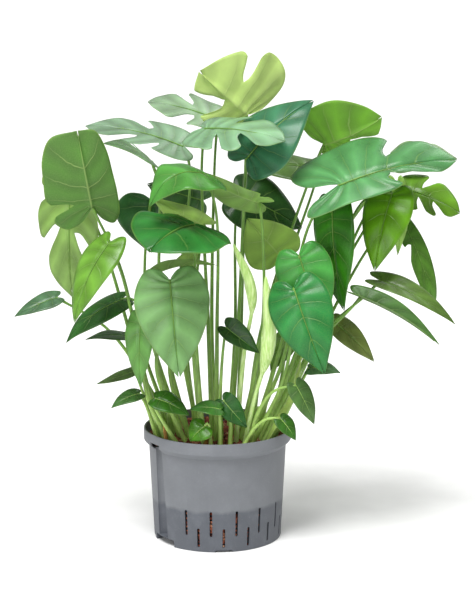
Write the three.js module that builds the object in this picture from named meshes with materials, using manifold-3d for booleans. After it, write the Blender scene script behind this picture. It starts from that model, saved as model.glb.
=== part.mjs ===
// A potted monstera: a slotted hydroculture pot, a bed of clay granulate, the shoots that stand
// in it, and every leaf as one solid with its own stalk. Millimetres, +Z up. The origin is the
// middle of the pot's underside, +X is the plant's right and -Y its front.
import * as THREE from "three";
import { mergeVertices } from "three/addons/utils/BufferGeometryUtils.js";
import Module from "manifold-3d";

// Pot
const POT_HEIGHT = 190;
const RIM_RADIUS = 125;
const RIM_OVERHANG = 8.5;
const TAPER = 8.5;
const RIM_BAND = 20;
const RIM_CHAMFER = 8;
const WALL = 2.6;
const FLOOR = 5;
const RIM_LIP = 3;
const ROUND_STEPS = 36;

// Slots through the wall, in two staggered rows, and the drain notches under the foot
const SLOTS_ROUND = 16;
const SLOT_WIDTH = 4.5;
const UPPER_SLOT = { low: 27, high: 71 };
const LOWER_SLOT = { low: 8, high: 41 };
const SLOT_START = 6;
const NOTCH_WIDTH = 28;
const NOTCH_RISE = 3.5;
const NOTCH_REACH = 26;
const NOTCHES = 4;

// Channel for the water gauge: a half round that widens downwards, with the rim's lower edge cut
// away above it and the foot cut away below it
const CHANNEL_ANGLE = 213;
const CHANNEL_TOP_RADIUS = 9;
const CHANNEL_LOW_RADIUS = 14;
const CHANNEL_LOW = 13;
const CHANNEL_SIDES = 16;
const RIM_CUT_WIDTH = 28;
const RIM_CUT_DEEP = 15;
const FOOT_CUT_WIDTH = 56;
const FOOT_CUT_RISE = 12;
const FOOT_CUT_REACH = 45;
const SLOT_TO_CHANNEL = 18;

// Bed and plant
const BED_DROP = 14;
const BED_HEAP = 3;
const FIT = 0.4;
const BLADE_THICKNESS = 1.2;
const STALK_FOOT_RADIUS = 4.6;
const STALK_TOP_RADIUS = 2.1;
const STALK_SIDES = 5;
const SHOOT_SIDES = 8;

// What the pot's sizes make of the rest
const BODY_TOP_RADIUS = RIM_RADIUS - RIM_OVERHANG;
const FOOT_RADIUS = BODY_TOP_RADIUS - TAPER;
const BODY_TOP = POT_HEIGHT - RIM_BAND - RIM_CHAMFER;
const RIM_LOW = POT_HEIGHT - RIM_BAND;
const BED_TOP = POT_HEIGHT - BED_DROP;
const BED_RADIUS = RIM_RADIUS - RIM_LIP - FIT;

// Colours
const POT_GREY = 0x808389;
const FIRED_CLAY = 0x8a4a38;
const DEEP = 0x3f7a35;
const GREY = 0x6f9c60;
const BRIGHT = 0x5f9440;
const OLIVE = 0x607f38;
const YELLOW = 0x86ad4c;
const YOUNG = 0xc4de92;
const SHOOT = 0x94b75b;
const DRY = 0xa97b3a;

const wasm = await Module();
wasm.setup();

const radians = THREE.MathUtils.degToRad;
const lerp = THREE.MathUtils.lerp;

// A three.js geometry as a manifold-3d solid.
function solid(geometry) {
  const bare = geometry.clone();
  bare.deleteAttribute("normal");
  bare.deleteAttribute("uv");
  const merged = mergeVertices(bare, 1e-3);
  return new wasm.Manifold(
    new wasm.Mesh({
      numProp: 3,
      vertProperties: merged.attributes.position.array,
      triVerts: new Uint32Array(merged.index.array),
    }),
  );
}

// A manifold-3d solid as a named mesh.
function mesh(name, shape, colour, roughness) {
  const made = shape.getMesh();
  const geometry = new THREE.BufferGeometry();
  geometry.setAttribute("position", new THREE.BufferAttribute(made.vertProperties, 3));
  geometry.setIndex(new THREE.BufferAttribute(made.triVerts, 1));
  const material = new THREE.MeshStandardMaterial({ color: colour, roughness, metalness: 0 });
  const result = new THREE.Mesh(geometry, material);
  result.name = name;
  return result;
}

// Moves every vertex of a geometry to place(vertex).
function reshape(geometry, place) {
  const points = geometry.attributes.position;
  const point = new THREE.Vector3();
  for (let i = 0; i < points.count; i += 1) {
    point.fromBufferAttribute(points, i);
    const moved = place(point);
    points.setXYZ(i, moved.x, moved.y, moved.z);
  }
  return geometry;
}

function turnedSolid(profile, segments) {
  const points = profile.map(([radius, height]) => new THREE.Vector2(radius, height));
  return solid(new THREE.LatheGeometry(points, segments).rotateX(Math.PI / 2));
}

// How far the pot's wall leans out.
const WALL_LEAN = Math.atan2(BODY_TOP_RADIUS - FOOT_RADIUS, BODY_TOP);

// A block that leans with the pot's wall, at an angle round the pot.
function wallBlock({ angle, width, inner, outer, low, high }) {
  const block = new THREE.BoxGeometry(outer - inner, width, high - low);
  block.translate((inner + outer) / 2 - FOOT_RADIUS, 0, (high + low) / 2);
  block.rotateY(WALL_LEAN);
  block.translate(FOOT_RADIUS, 0, 0);
  return solid(block.rotateZ(radians(angle)));
}

// Pot
function wallRadius(height) {
  return lerp(FOOT_RADIUS, BODY_TOP_RADIUS, height / BODY_TOP);
}

// The inner surface of the pot, as [radius, height] points from the floor to the rim.
function innerProfile(gap) {
  return [
    [wallRadius(FLOOR) - WALL - gap, FLOOR + gap],
    [BODY_TOP_RADIUS - WALL - gap, BODY_TOP],
    [RIM_RADIUS - RIM_LIP - gap, RIM_LOW],
    [RIM_RADIUS - RIM_LIP - gap, POT_HEIGHT],
  ];
}

function potSolid() {
  const profile = [
    [0, 0],
    [FOOT_RADIUS - 1, 0],
    [FOOT_RADIUS, 1],
    [BODY_TOP_RADIUS, BODY_TOP],
    [RIM_RADIUS, RIM_LOW],
    [RIM_RADIUS, POT_HEIGHT - 1],
    [RIM_RADIUS - 1, POT_HEIGHT],
    ...innerProfile(0).reverse(),
    [0, FLOOR],
  ];
  let pot = turnedSolid(profile, ROUND_STEPS);
  pot = pot.add(channelLiner()).subtract(channelRod(0)).subtract(rimCut());
  pot = pot.subtract(footCut(0));
  const slotPitch = 360 / SLOTS_ROUND;
  for (let i = 0; i < SLOTS_ROUND; i += 1) {
    const upper = SLOT_START - 90 + (i + 0.5) * slotPitch;
    const lower = SLOT_START - 90 + i * slotPitch;
    pot = cutSlot(pot, upper, UPPER_SLOT);
    pot = cutSlot(pot, lower, LOWER_SLOT);
  }
  for (let i = 0; i < NOTCHES; i += 1) {
    const notch = new THREE.BoxGeometry(NOTCH_REACH, NOTCH_WIDTH, 2 * NOTCH_RISE);
    notch.translate(FOOT_RADIUS + 5 - NOTCH_REACH / 2, 0, 0);
    notch.rotateZ(radians(SLOT_START - 90 + (i * 360) / NOTCHES));
    pot = pot.subtract(solid(notch));
  }
  return pot;
}

// The gauge channel as a rod that leans with the wall: ungrown it is the channel, and grown by the
// wall's thickness it is the wall round the channel.
function channelRod(grow) {
  const height = RIM_LOW - CHANNEL_LOW + 2 * grow;
  const middle = (RIM_LOW + CHANNEL_LOW) / 2;
  const [top, low] = [CHANNEL_TOP_RADIUS + grow, CHANNEL_LOW_RADIUS + grow];
  const rod = new THREE.CylinderGeometry(top, low, height, CHANNEL_SIDES).rotateX(Math.PI / 2);
  rod.rotateY(WALL_LEAN).translate(wallRadius(middle), 0, middle);
  return solid(rod.rotateZ(radians(CHANNEL_ANGLE)));
}

// The cut under the foot at the channel, which lets water in and the gauge's lead out.
function footCut(grow) {
  const width = FOOT_CUT_WIDTH + 2 * grow;
  const cut = new THREE.BoxGeometry(FOOT_CUT_REACH + grow, width, 2 * (FOOT_CUT_RISE + grow));
  cut.translate(FOOT_RADIUS + 5 - (FOOT_CUT_REACH + grow) / 2, 0, 0);
  return solid(cut.rotateZ(radians(CHANNEL_ANGLE)));
}

// The walls round the channel and over the foot cut, kept inside the pot's own wall.
function channelLiner() {
  const profile = [
    [0, 0],
    [FOOT_RADIUS - 1, 0],
    [FOOT_RADIUS - WALL / 2, 1],
    [BODY_TOP_RADIUS - WALL / 2, BODY_TOP],
    [BODY_TOP_RADIUS, RIM_LOW - WALL],
    [0, RIM_LOW - WALL],
  ];
  const inside = turnedSolid(profile, ROUND_STEPS);
  return channelRod(WALL).add(footCut(WALL)).intersect(inside);
}

// The rim's lower edge is cut away above the channel.
function rimCut() {
  const cut = new THREE.BoxGeometry(RIM_CUT_DEEP * 2, RIM_CUT_WIDTH, RIM_CHAMFER + 7);
  cut.translate(BODY_TOP_RADIUS + RIM_CUT_DEEP, 0, BODY_TOP + (RIM_CHAMFER + 7) / 2 - 1);
  return solid(cut.rotateZ(radians(CHANNEL_ANGLE)));
}

function cutSlot(pot, angle, { low, high }) {
  const fromChannel = Math.abs(((angle - CHANNEL_ANGLE + 540) % 360) - 180);
  const blocked = (CHANNEL_LOW_RADIUS + WALL + SLOT_TO_CHANNEL) / FOOT_RADIUS;
  if (radians(fromChannel) < blocked) {
    return pot;
  }
  const slot = wallBlock({
    angle,
    width: SLOT_WIDTH,
    inner: FOOT_RADIUS - 2 * WALL,
    outer: FOOT_RADIUS + 2 * WALL,
    low,
    high,
  });
  return pot.subtract(slot);
}

// Granulate bed: the shape of the pot's inside up to the bed's level, with a gently heaped top.
function bedSolid() {
  const below = innerProfile(FIT).filter(([, height]) => height < BED_TOP);
  const top = [
    [BED_RADIUS, BED_TOP - BED_HEAP],
    [BED_RADIUS * 0.75, BED_TOP],
    [0, BED_TOP],
  ];
  const bed = turnedSolid([[0, FLOOR + FIT], ...below, ...top], ROUND_STEPS);
  return bed.subtract(channelRod(WALL + FIT)).subtract(footCut(WALL + FIT));
}

// Leaves. The outline of one half of a blade, from the notch where the stalk joins to the tip,
// as [across, along] in shares of the blade's width and length.
const HEART_OUTLINE = [
  [0.02, -0.03],
  [0.12, -0.11],
  [0.3, -0.13],
  [0.43, -0.02],
  [0.5, 0.17],
  [0.46, 0.4],
  [0.33, 0.64],
  [0.14, 0.86],
  [0.008, 1],
];
const BROAD_OUTLINE = [
  [0.02, -0.03],
  [0.14, -0.12],
  [0.34, -0.13],
  [0.46, 0],
  [0.51, 0.2],
  [0.5, 0.45],
  [0.41, 0.68],
  [0.23, 0.88],
  [0.008, 1],
];
const LOBED_OUTLINE = [
  [0.02, -0.03],
  [0.16, -0.24],
  [0.36, -0.32],
  [0.5, -0.16],
  [0.53, 0.12],
  [0.5, 0.42],
  [0.4, 0.68],
  [0.22, 0.88],
  [0.008, 1],
];
const BLUNT_OUTLINE = [
  [0.02, -0.03],
  [0.16, -0.2],
  [0.36, -0.3],
  [0.5, -0.16],
  [0.54, 0.12],
  [0.52, 0.42],
  [0.48, 0.72],
  [0.34, 0.96],
  [0.008, 1],
];
const OUTLINES = [HEART_OUTLINE, BROAD_OUTLINE, LOBED_OUTLINE, BLUNT_OUTLINE];
const [HEART, BROAD, LOBED, BLUNT] = OUTLINES.map((points) => {
  const corners = points.map(([across, along]) => new THREE.Vector3(across, along, 0));
  return new THREE.CatmullRomCurve3(corners);
});

// A point of the flat half blade: run goes along the margin and out from the midrib to it.
// Side veins bow forward, so each line from the midrib to the margin is a bowed one, and the
// lines of the lobes fan out from the stalk.
function flatPoint(outline, run, out) {
  const margin = outline.getPoint(THREE.MathUtils.clamp(run, 0, 1));
  const start = 0.93 * run ** 3;
  const bend = new THREE.Vector2(0.55 * margin.x, start + 0.25 * (margin.y - start));
  const stay = 1 - out;
  return {
    across: 2 * stay * out * bend.x + out * out * margin.x,
    along: stay * stay * start + 2 * stay * out * bend.y + out * out * margin.y,
  };
}

// The blade's curved sheet: returns a function that puts (across, along, lift) in space.
// joint and tip are the ends of the midrib; faces is the way the upper side looks; arch is how
// far the midrib bows out of the straight line; fold lifts both halves; curl lets the margins drop.
function bladeFrame(leaf) {
  const { joint, tip, width, faces, arch = 0, fold = 0, curl = 0, halves = [1, 1] } = leaf;
  const from = above(joint);
  const chord = above(tip).sub(from);
  const length = chord.length();
  const ahead = chord.clone().normalize();
  const side = new THREE.Vector3().crossVectors(ahead, new THREE.Vector3(...faces)).normalize();
  const face = new THREE.Vector3().crossVectors(side, ahead).normalize();
  return (across, along, lift) => {
    const bow = 4 * arch * along * (1 - along);
    const slope = (4 * arch * (1 - 2 * along)) / length;
    const normal = face.clone().addScaledVector(ahead, -slope).normalize();
    const reach = Math.abs(across) * width * halves[across < 0 ? 0 : 1];
    const rise = reach * Math.tan(radians(fold)) - (curl * reach * reach) / (width / 2) ** 2;
    const spot = from.clone().addScaledVector(chord, along).addScaledVector(face, bow);
    const halfSpan = Math.cos(radians(fold));
    spot.addScaledVector(side, Math.sign(across) * reach * halfSpan);
    return spot.addScaledVector(normal, rise + lift);
  };
}

// Blade with its slits. Each slit is [side, first, last, depth]: where it opens along the margin
// and how near the midrib it ends.
function bladeSolid(leaf) {
  const place = bladeFrame(leaf);
  const outline = leaf.outline ?? HEART;
  const [along, out] = leaf.grid ?? [6, 4];
  const half = BLADE_THICKNESS / 2;
  const sheet = new THREE.BoxGeometry(2, 1, 1, out, along, 1);
  let blade = solid(
    reshape(sheet, (p) => {
      const flat = flatPoint(outline, p.y + 0.5, Math.abs(p.x));
      return place(Math.sign(p.x) * flat.across, flat.along, Math.sign(p.z) * half);
    }),
  );
  for (const [side, first, last, depth] of leaf.slits ?? []) {
    const middle = (first + last) / 2;
    const wedge = new THREE.BoxGeometry(1, 1, 1, 1, 2, 1);
    const cutter = reshape(wedge, (p) => {
      const open = p.y + 0.5;
      const out = lerp(depth, 1.08, open);
      const spread = 0.25 + 0.75 * open;
      const flat = flatPoint(outline, middle + p.x * (last - first) * spread, out);
      return place(side * flat.across, flat.along, Math.sign(p.z) * -5 * side);
    });
    blade = blade.subtract(solid(cutter));
  }
  return blade;
}

// Stalk from its foot on the bed, through the points it passes, up to the blade.
function stalkSolid({ foot, via, joint }) {
  const path = pathFrom(foot, [...via, joint]);
  const radius = (share) => lerp(STALK_TOP_RADIUS, STALK_FOOT_RADIUS, (1 - share) ** 1.5);
  return rodSolid(path, radius, 2 * via.length + 1);
}

// A place of the plant, from its height above the bed.
function above([x, y, height]) {
  return new THREE.Vector3(x, y, BED_TOP + height);
}

// A smooth path through the given points, from a foot on the bed in percent of the bed's radius.
function pathFrom([x, y], points) {
  const start = new THREE.Vector3((x * BED_RADIUS) / 100, (y * BED_RADIUS) / 100, BED_TOP + FIT);
  const corners = [start, ...points.map(above)];
  return new THREE.CatmullRomCurve3(corners, false, "centripetal");
}

// A closed rod along a path, with radius(share of the way) and a level foot.
function rodSolid(path, radius, steps, sides = STALK_SIDES) {
  const frames = path.computeFrenetFrames(steps, false);
  const rod = new THREE.CylinderGeometry(1, 1, steps, sides, steps);
  return solid(
    reshape(rod, (p) => {
      const step = Math.round(p.y + steps / 2);
      const reach = radius(step / steps);
      const spot = path.getPointAt(step / steps);
      spot.addScaledVector(frames.normals[step], -p.x * reach);
      spot.addScaledVector(frames.binormals[step], p.z * reach);
      if (step === 0) {
        spot.z = path.points[0].z;
      }
      return spot;
    }),
  );
}

// Young leaves that are still rolled up: a stalk that swells into a slim spindle.
const ROLLED_LEAVES = [
  {
    name: "spear_leaf",
    foot: [36, -51],
    points: [[62, -80, 80], [85, -92, 175], [80, -98, 290]],
    radius: 10.5,
    starts: 0.46,
  },
  {
    name: "rolled_leaf",
    foot: [25, -40],
    points: [[45, -60, 155], [58, -75, 255], [28, -78, 340]],
    radius: 7.5,
    starts: 0.66,
  },
];

function rolledLeafSolid({ foot, points, radius, starts }) {
  const stalk = (share) => lerp(STALK_FOOT_RADIUS, STALK_TOP_RADIUS + 1, share / starts);
  const spindle = (share) => {
    const along = (share - starts) / (1 - starts);
    return 1.2 + radius * Math.sin(Math.PI * along ** 0.7) ** 0.7;
  };
  const reach = (share) => (share < starts ? stalk(share) : Math.max(spindle(share), 1.2));
  return rodSolid(pathFrom(foot, points), reach, 18, SHOOT_SIDES);
}

// Short upright shoots that the stalks stand round, and the stubs of stalks cut long ago.
const SHOOTS = [
  { name: "left_shoot", foot: [-64, 3], top: [-82, 4, 45], radius: 7, colour: SHOOT },
  { name: "middle_shoot", foot: [2, -21], top: [4, -28, 55], radius: 8, colour: SHOOT },
  { name: "right_shoot", foot: [53, -8], top: [70, -12, 50], radius: 7, colour: SHOOT },
  { name: "left_stub", foot: [-69, -47], top: [-88, -60, 30], radius: 4, colour: DRY },
  { name: "front_stub", foot: [-23, -66], top: [-10, -84, 25], radius: 3.5, colour: DRY },
  { name: "middle_stub", foot: [14, -53], top: [24, -60, 30], radius: 3.5, colour: DRY },
];

function shootSolid({ foot, top, radius }) {
  return rodSolid(pathFrom(foot, [top]), (share) => radius * (1 - 0.35 * share), 3, SHOOT_SIDES);
}

// The opened sheath of a stalk: a long trough with its hollow side up. Its points are measured
// from a place on the bed, like its foot, so that it stays between its neighbours' feet.
const SHEATH = {
  foot: [61, -52],
  from: [61, -20.8],
  points: [[21.824, -38.707, 40], [43.824, -42.707, 80], [65.824, -48.707, 155]],
  width: 28,
  depth: 8,
};

function sheathSolid({ foot, from, points, width, depth }) {
  const steps = 8;
  const [startX, startY] = from.map((share) => (share * BED_RADIUS) / 100);
  const path = pathFrom(foot, points.map(([x, y, height]) => [startX + x, startY + y, height]));
  const frames = path.computeFrenetFrames(steps, false);
  const trough = new THREE.BoxGeometry(2, 2, steps, 6, 1, steps);
  return solid(
    reshape(trough, (p) => {
      const step = Math.round(p.z + steps / 2);
      const share = step / steps;
      const half = (width / 2) * (0.35 + 0.65 * Math.sin(Math.PI * (0.12 + 0.8 * share)));
      const hollow = depth * p.x * p.x * Math.sin(Math.PI * share);
      const spot = path.getPointAt(share);
      const out = new THREE.Vector3(0, 1, 0);
      const up = new THREE.Vector3().crossVectors(frames.tangents[step], out).normalize();
      spot.addScaledVector(out, -p.x * half);
      spot.addScaledVector(up, -hollow - p.y * BLADE_THICKNESS);
      spot.z = Math.max(spot.z, BED_TOP + FIT);
      return spot;
    }),
  );
}

const LEAVES = [
  // top of the plant
  {
    name: "crown_leaf",
    foot: [29, 29],
    via: [[40, 45, 170], [45, 50, 375]],
    colour: YELLOW,
    joint: [50, 70, 535],
    tip: [-30, 50, 610],
    width: 205,
    faces: [0, 1, 0.1],
    arch: -6,
    curl: -8,
    outline: BROAD,
    halves: [1, 0.55],
    slits: [[-1, 0.66, 0.76, 0.38], [1, 0.66, 0.84, 0.16]],
  },
  {
    name: "upper_heart_leaf",
    foot: [18, -2],
    via: [[35, 5, 180], [45, -10, 405]],
    colour: DEEP,
    joint: [50, -25, 475],
    tip: [160, 15, 565],
    width: 122,
    faces: [-0.25, -0.75, 0.75],
    arch: 14,
    curl: 10,
  },
  {
    name: "top_front_leaf",
    foot: [-7, -10],
    via: [[-15, -10, 185], [-25, -15, 455]],
    colour: GREY,
    joint: [-20, -35, 525],
    tip: [110, -90, 510],
    width: 145,
    faces: [-0.1, -0.25, 1],
    arch: 8,
    curl: 8,
    outline: BROAD,
    slits: [[1, 0.74, 0.82, 0.3], [1, 0.56, 0.62, 0.4], [-1, 0.62, 0.7, 0.35]],
  },
  {
    name: "top_back_leaf",
    foot: [-4, 35],
    via: [[-10, 60, 170], [-5, 130, 450]],
    colour: GREY,
    joint: [0, 140, 520],
    tip: [-120, 140, 550],
    width: 130,
    faces: [-0.1, -0.28, 1],
    arch: 6,
    outline: BROAD,
    slits: [[-1, 0.62, 0.74, 0.3], [1, 0.66, 0.76, 0.35]],
  },
  {
    name: "upper_left_leaf",
    foot: [-26, 15],
    via: [[-65, 30, 190], [-45, 15, 450]],
    colour: GREY,
    joint: [-55, 5, 490],
    tip: [-220, 40, 520],
    width: 125,
    faces: [0, -0.22, 1],
    arch: 10,
    outline: BROAD,
    slits: [[-1, 0.72, 0.8, 0.3], [1, 0.66, 0.76, 0.3], [-1, 0.54, 0.6, 0.4]],
  },
  {
    name: "left_shoulder_leaf",
    foot: [-39, 0],
    via: [[-95, 10, 195], [-95, -35, 425]],
    colour: GREY,
    joint: [-105, -70, 475],
    tip: [-180, -120, 510],
    width: 80,
    faces: [0.1, -0.3, 1],
    arch: 8,
    slits: [[1, 0.6, 0.68, 0.4]],
  },
  {
    name: "arching_leaf",
    foot: [-2, -31],
    via: [[0, -50, 190], [0, -95, 390]],
    colour: BRIGHT,
    joint: [-15, -120, 460],
    tip: [-105, -165, 415],
    width: 115,
    faces: [-0.35, -0.5, 0.8],
    arch: 30,
    curl: 8,
  },
  {
    name: "long_leaf",
    foot: [31, -23],
    via: [[75, -40, 190], [75, -50, 360]],
    colour: YELLOW,
    joint: [70, -50, 405],
    tip: [-45, -60, 465],
    width: 80,
    faces: [0.1, 0.55, 0.8],
    arch: -6,
    curl: 6,
    slits: [[-1, 0.35, 0.44, 0.5]],
  },
  // middle of the plant
  {
    name: "glossy_heart_leaf",
    foot: [-18, -48],
    via: [[-35, -75, 195], [-35, -100, 345]],
    colour: DEEP,
    joint: [-35, -120, 380],
    tip: [-105, -205, 350],
    width: 168,
    faces: [-0.2, -0.6, 0.8],
    arch: 12,
    curl: 6,
    outline: BROAD,
  },
  {
    name: "pale_middle_leaf",
    foot: [-21, -26],
    via: [[-40, -40, 190], [-25, -50, 345]],
    colour: YELLOW,
    joint: [-20, -60, 370],
    tip: [-105, -75, 415],
    width: 75,
    faces: [0, 0.6, 0.8],
    curl: 6,
  },
  {
    name: "dark_back_left_leaf",
    foot: [-51, 33],
    via: [[-120, 60, 185], [-125, 95, 285]],
    colour: DEEP,
    joint: [-115, 110, 385],
    tip: [-115, 95, 295],
    width: 125,
    faces: [-0.1, -1, 0.3],
    curl: 8,
  },
  {
    name: "ribbed_back_leaf",
    foot: [-31, 43],
    via: [[-55, 70, 165], [-35, 70, 340]],
    colour: GREY,
    joint: [-25, 70, 390],
    tip: [-120, 90, 415],
    width: 90,
    faces: [0, -0.75, 0.7],
    curl: 5,
  },
  {
    name: "shaded_back_leaf",
    foot: [16, 49],
    via: [[30, 80, 165], [30, 100, 335]],
    colour: DEEP,
    joint: [35, 105, 395],
    tip: [145, 110, 335],
    width: 110,
    faces: [-0.1, -0.75, 0.65],
    arch: 8,
    curl: 6,
  },
  {
    name: "small_pale_leaf",
    foot: [-37, -16],
    via: [[-80, -20, 115], [-60, -30, 255]],
    colour: YELLOW,
    joint: [-60, -30, 295],
    tip: [-25, -35, 325],
    width: 38,
    faces: [0, 0.7, 0.7],
    grid: [6, 2],
  },
  {
    name: "folded_olive_leaf",
    foot: [-51, -7],
    via: [[-100, -25, 135], [-105, -60, 245]],
    colour: OLIVE,
    joint: [-100, -70, 290],
    tip: [0, -80, 305],
    width: 46,
    faces: [0, 0.25, 1],
    arch: 8,
    fold: 25,
    grid: [7, 4],
  },
  {
    name: "underside_heart_leaf",
    foot: [37, 16],
    via: [[85, 25, 160], [100, 25, 255]],
    colour: OLIVE,
    joint: [105, 20, 305],
    tip: [50, 0, 370],
    width: 100,
    faces: [0, 0.9, 0.35],
    curl: 5,
  },
  {
    name: "dark_folded_leaf",
    foot: [4, -51],
    via: [[5, -65, 75], [10, -70, 160]],
    colour: DEEP,
    joint: [15, -70, 200],
    tip: [70, -90, 160],
    width: 44,
    faces: [0.1, -0.8, 0.5],
    fold: 20,
    grid: [7, 4],
  },
  // front hearts
  {
    name: "front_left_heart_leaf",
    foot: [-41, -37],
    via: [[-100, -70, 130], [-80, -105, 235]],
    colour: GREY,
    joint: [-75, -130, 290],
    tip: [-60, -155, 135],
    width: 122,
    faces: [-0.05, -1, 0.3],
    arch: 10,
    curl: 8,
  },
  {
    name: "front_right_heart_leaf",
    foot: [45, -39],
    via: [[110, -70, 110], [125, -95, 220]],
    colour: DEEP,
    joint: [125, -120, 275],
    tip: [175, -150, 140],
    width: 104,
    faces: [-0.2, -1, 0.25],
    arch: 12,
    curl: 10,
  },
  {
    name: "behind_heart_leaf",
    foot: [41, -16],
    via: [[110, -30, 135], [130, -50, 260]],
    colour: DEEP,
    joint: [135, -70, 320],
    tip: [175, -85, 200],
    width: 95,
    faces: [-0.2, -0.9, 0.35],
    arch: 8,
    curl: 6,
  },
  {
    name: "narrow_front_left_leaf",
    foot: [-62, -31],
    via: [[-115, -60, 75], [-125, -70, 170]],
    colour: GREY,
    joint: [-125, -80, 215],
    tip: [-125, -95, 105],
    width: 50,
    faces: [-0.3, -0.9, 0.2],
    arch: 8,
    grid: [7, 4],
  },
  // left side
  {
    name: "big_left_leaf",
    foot: [-78, -4],
    via: [[-115, -10, 60], [-160, -10, 285]],
    colour: BRIGHT,
    joint: [-205, -40, 395],
    tip: [-225, -70, 525],
    width: 136,
    faces: [-0.1, 0.95, 0.3],
    arch: -8,
    curl: -8,
    outline: BLUNT,
    halves: [0.62, 1],
    slits: [[1, 0.4, 0.49, 0.38]],
  },
  {
    name: "fingered_left_leaf",
    foot: [-72, 18],
    via: [[-135, 30, 120], [-190, 45, 310]],
    colour: BRIGHT,
    joint: [-245, 50, 445],
    tip: [-245, 30, 230],
    width: 115,
    faces: [-0.4, -0.85, 0.3],
    arch: 12,
    outline: BROAD,
    slits: [[1, 0.46, 0.54, 0.3], [1, 0.7, 0.78, 0.3], [-1, 0.5, 0.58, 0.3], [-1, 0.74, 0.82, 0.3]],
  },
  {
    name: "bright_left_leaf",
    foot: [-70, -23],
    via: [[-115, -35, 85], [-155, -80, 290]],
    colour: BRIGHT,
    joint: [-175, -95, 345],
    tip: [-230, -130, 220],
    width: 74,
    faces: [-0.55, -0.75, 0.35],
    arch: 14,
    curl: 5,
  },
  {
    name: "low_left_leaf",
    foot: [-59, 16],
    via: [[-120, 10, 125], [-140, -30, 240]],
    colour: DEEP,
    joint: [-160, -40, 240],
    tip: [-250, -55, 170],
    width: 60,
    faces: [-0.4, -0.55, 0.8],
    arch: 12,
    curl: 5,
    grid: [7, 4],
  },
  {
    name: "far_left_leaf",
    foot: [-66, 37],
    via: [[-115, 45, 65], [-185, 25, 175]],
    colour: DEEP,
    joint: [-270, 5, 235],
    tip: [-340, -10, 205],
    width: 40,
    faces: [0.1, -0.55, 0.9],
    arch: 4,
    grid: [6, 2],
  },
  {
    name: "edge_on_leaf",
    foot: [-72, -14],
    via: [[-115, -20, 65], [-130, -15, 150]],
    colour: DEEP,
    joint: [-145, -10, 170],
    tip: [-220, -30, 170],
    width: 50,
    faces: [0, -0.15, 1],
    arch: 6,
    grid: [6, 2],
  },
  {
    name: "thin_left_leaf",
    foot: [-82, 10],
    via: [[-120, 20, 45]],
    colour: OLIVE,
    joint: [-140, 20, 105],
    tip: [-205, 5, 85],
    width: 26,
    faces: [0, -0.5, 1],
    grid: [6, 2],
  },
  {
    name: "rim_left_leaf",
    foot: [-81, -23],
    via: [[-120, -50, 65]],
    colour: DEEP,
    joint: [-130, -60, 85],
    tip: [-175, -80, 65],
    width: 34,
    faces: [-0.1, -0.5, 0.9],
    grid: [6, 2],
    arch: 5,
  },
  // right side
  {
    name: "big_right_leaf",
    foot: [48, 2],
    via: [[110, 10, 160], [155, -30, 370]],
    colour: GREY,
    joint: [200, -60, 435],
    tip: [395, -20, 470],
    width: 185,
    faces: [-0.1, -0.55, 0.8],
    arch: 14,
    curl: 10,
    outline: LOBED,
    halves: [1, 0.5],
    grid: [10, 4],
    slits: [[-1, 0.7, 0.78, 0.4], [1, 0.66, 0.8, 0.3]],
  },
  {
    name: "upper_right_leaf",
    foot: [41, 31],
    via: [[75, 55, 170], [160, 80, 435]],
    colour: YELLOW,
    joint: [180, 75, 485],
    tip: [275, 40, 535],
    width: 155,
    faces: [0.05, 0.9, 0.4],
    arch: -10,
    curl: 6,
    outline: BROAD,
    halves: [0.5, 1],
    slits: [[-1, 0.66, 0.84, 0.3]],
  },
  {
    name: "olive_back_leaf",
    foot: [48, 45],
    via: [[85, 95, 160], [165, 135, 400]],
    colour: OLIVE,
    joint: [175, 140, 435],
    tip: [45, 130, 440],
    width: 90,
    faces: [0, -0.4, 0.9],
    curl: 8,
    arch: 6,
  },
  {
    name: "back_right_leaf",
    foot: [58, 51],
    via: [[125, 90, 180], [270, 110, 405]],
    colour: BRIGHT,
    joint: [310, 110, 455],
    tip: [410, 110, 455],
    width: 75,
    faces: [0, -0.6, 0.8],
    arch: 10,
    slits: [[-1, 0.58, 0.68, 0.35]],
  },
  {
    name: "hanging_right_leaf",
    foot: [58, -16],
    via: [[140, -20, 170], [180, -25, 340]],
    colour: BRIGHT,
    joint: [190, -30, 395],
    tip: [210, -60, 225],
    width: 85,
    faces: [-0.65, -0.75, 0.15],
    arch: 10,
    curl: 5,
  },
  {
    name: "long_right_leaf",
    foot: [66, 2],
    via: [[160, 0, 180], [245, 5, 400]],
    colour: BRIGHT,
    joint: [290, -15, 415],
    tip: [260, -50, 290],
    width: 84,
    faces: [-0.35, -0.9, 0.2],
    arch: 12,
    curl: 6,
  },
  {
    name: "bright_strip_leaf",
    foot: [76, 10],
    via: [[170, 15, 180], [260, 25, 390]],
    colour: BRIGHT,
    joint: [300, 15, 425],
    tip: [300, -15, 310],
    width: 38,
    faces: [0.3, -0.9, 0.2],
    arch: 12,
    grid: [7, 4],
  },
  {
    name: "fingered_right_leaf",
    foot: [67, 29],
    via: [[160, 50, 170], [275, 70, 375]],
    colour: BRIGHT,
    joint: [320, 65, 410],
    tip: [410, 55, 370],
    width: 80,
    faces: [0.05, -0.65, 0.75],
    arch: 8,
    outline: BROAD,
    slits: [[-1, 0.56, 0.66, 0.3], [1, 0.56, 0.64, 0.3], [1, 0.76, 0.84, 0.3]],
  },
  {
    name: "dangling_right_leaf",
    foot: [78, 25],
    via: [[180, 35, 175], [285, 45, 345]],
    colour: OLIVE,
    joint: [320, 35, 345],
    tip: [365, 10, 215],
    width: 38,
    faces: [0.3, -0.9, 0.3],
    arch: 12,
    outline: BROAD,
    slits: [[1, 0.5, 0.6, 0.35]],
  },
  {
    name: "tapering_right_leaf",
    foot: [70, -18],
    via: [[170, -20, 170], [255, -20, 250]],
    colour: OLIVE,
    joint: [270, -25, 270],
    tip: [395, -50, 200],
    width: 44,
    faces: [-0.1, -0.5, 0.85],
    arch: 14,
    fold: 10,
    grid: [8, 4],
  },
  {
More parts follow.
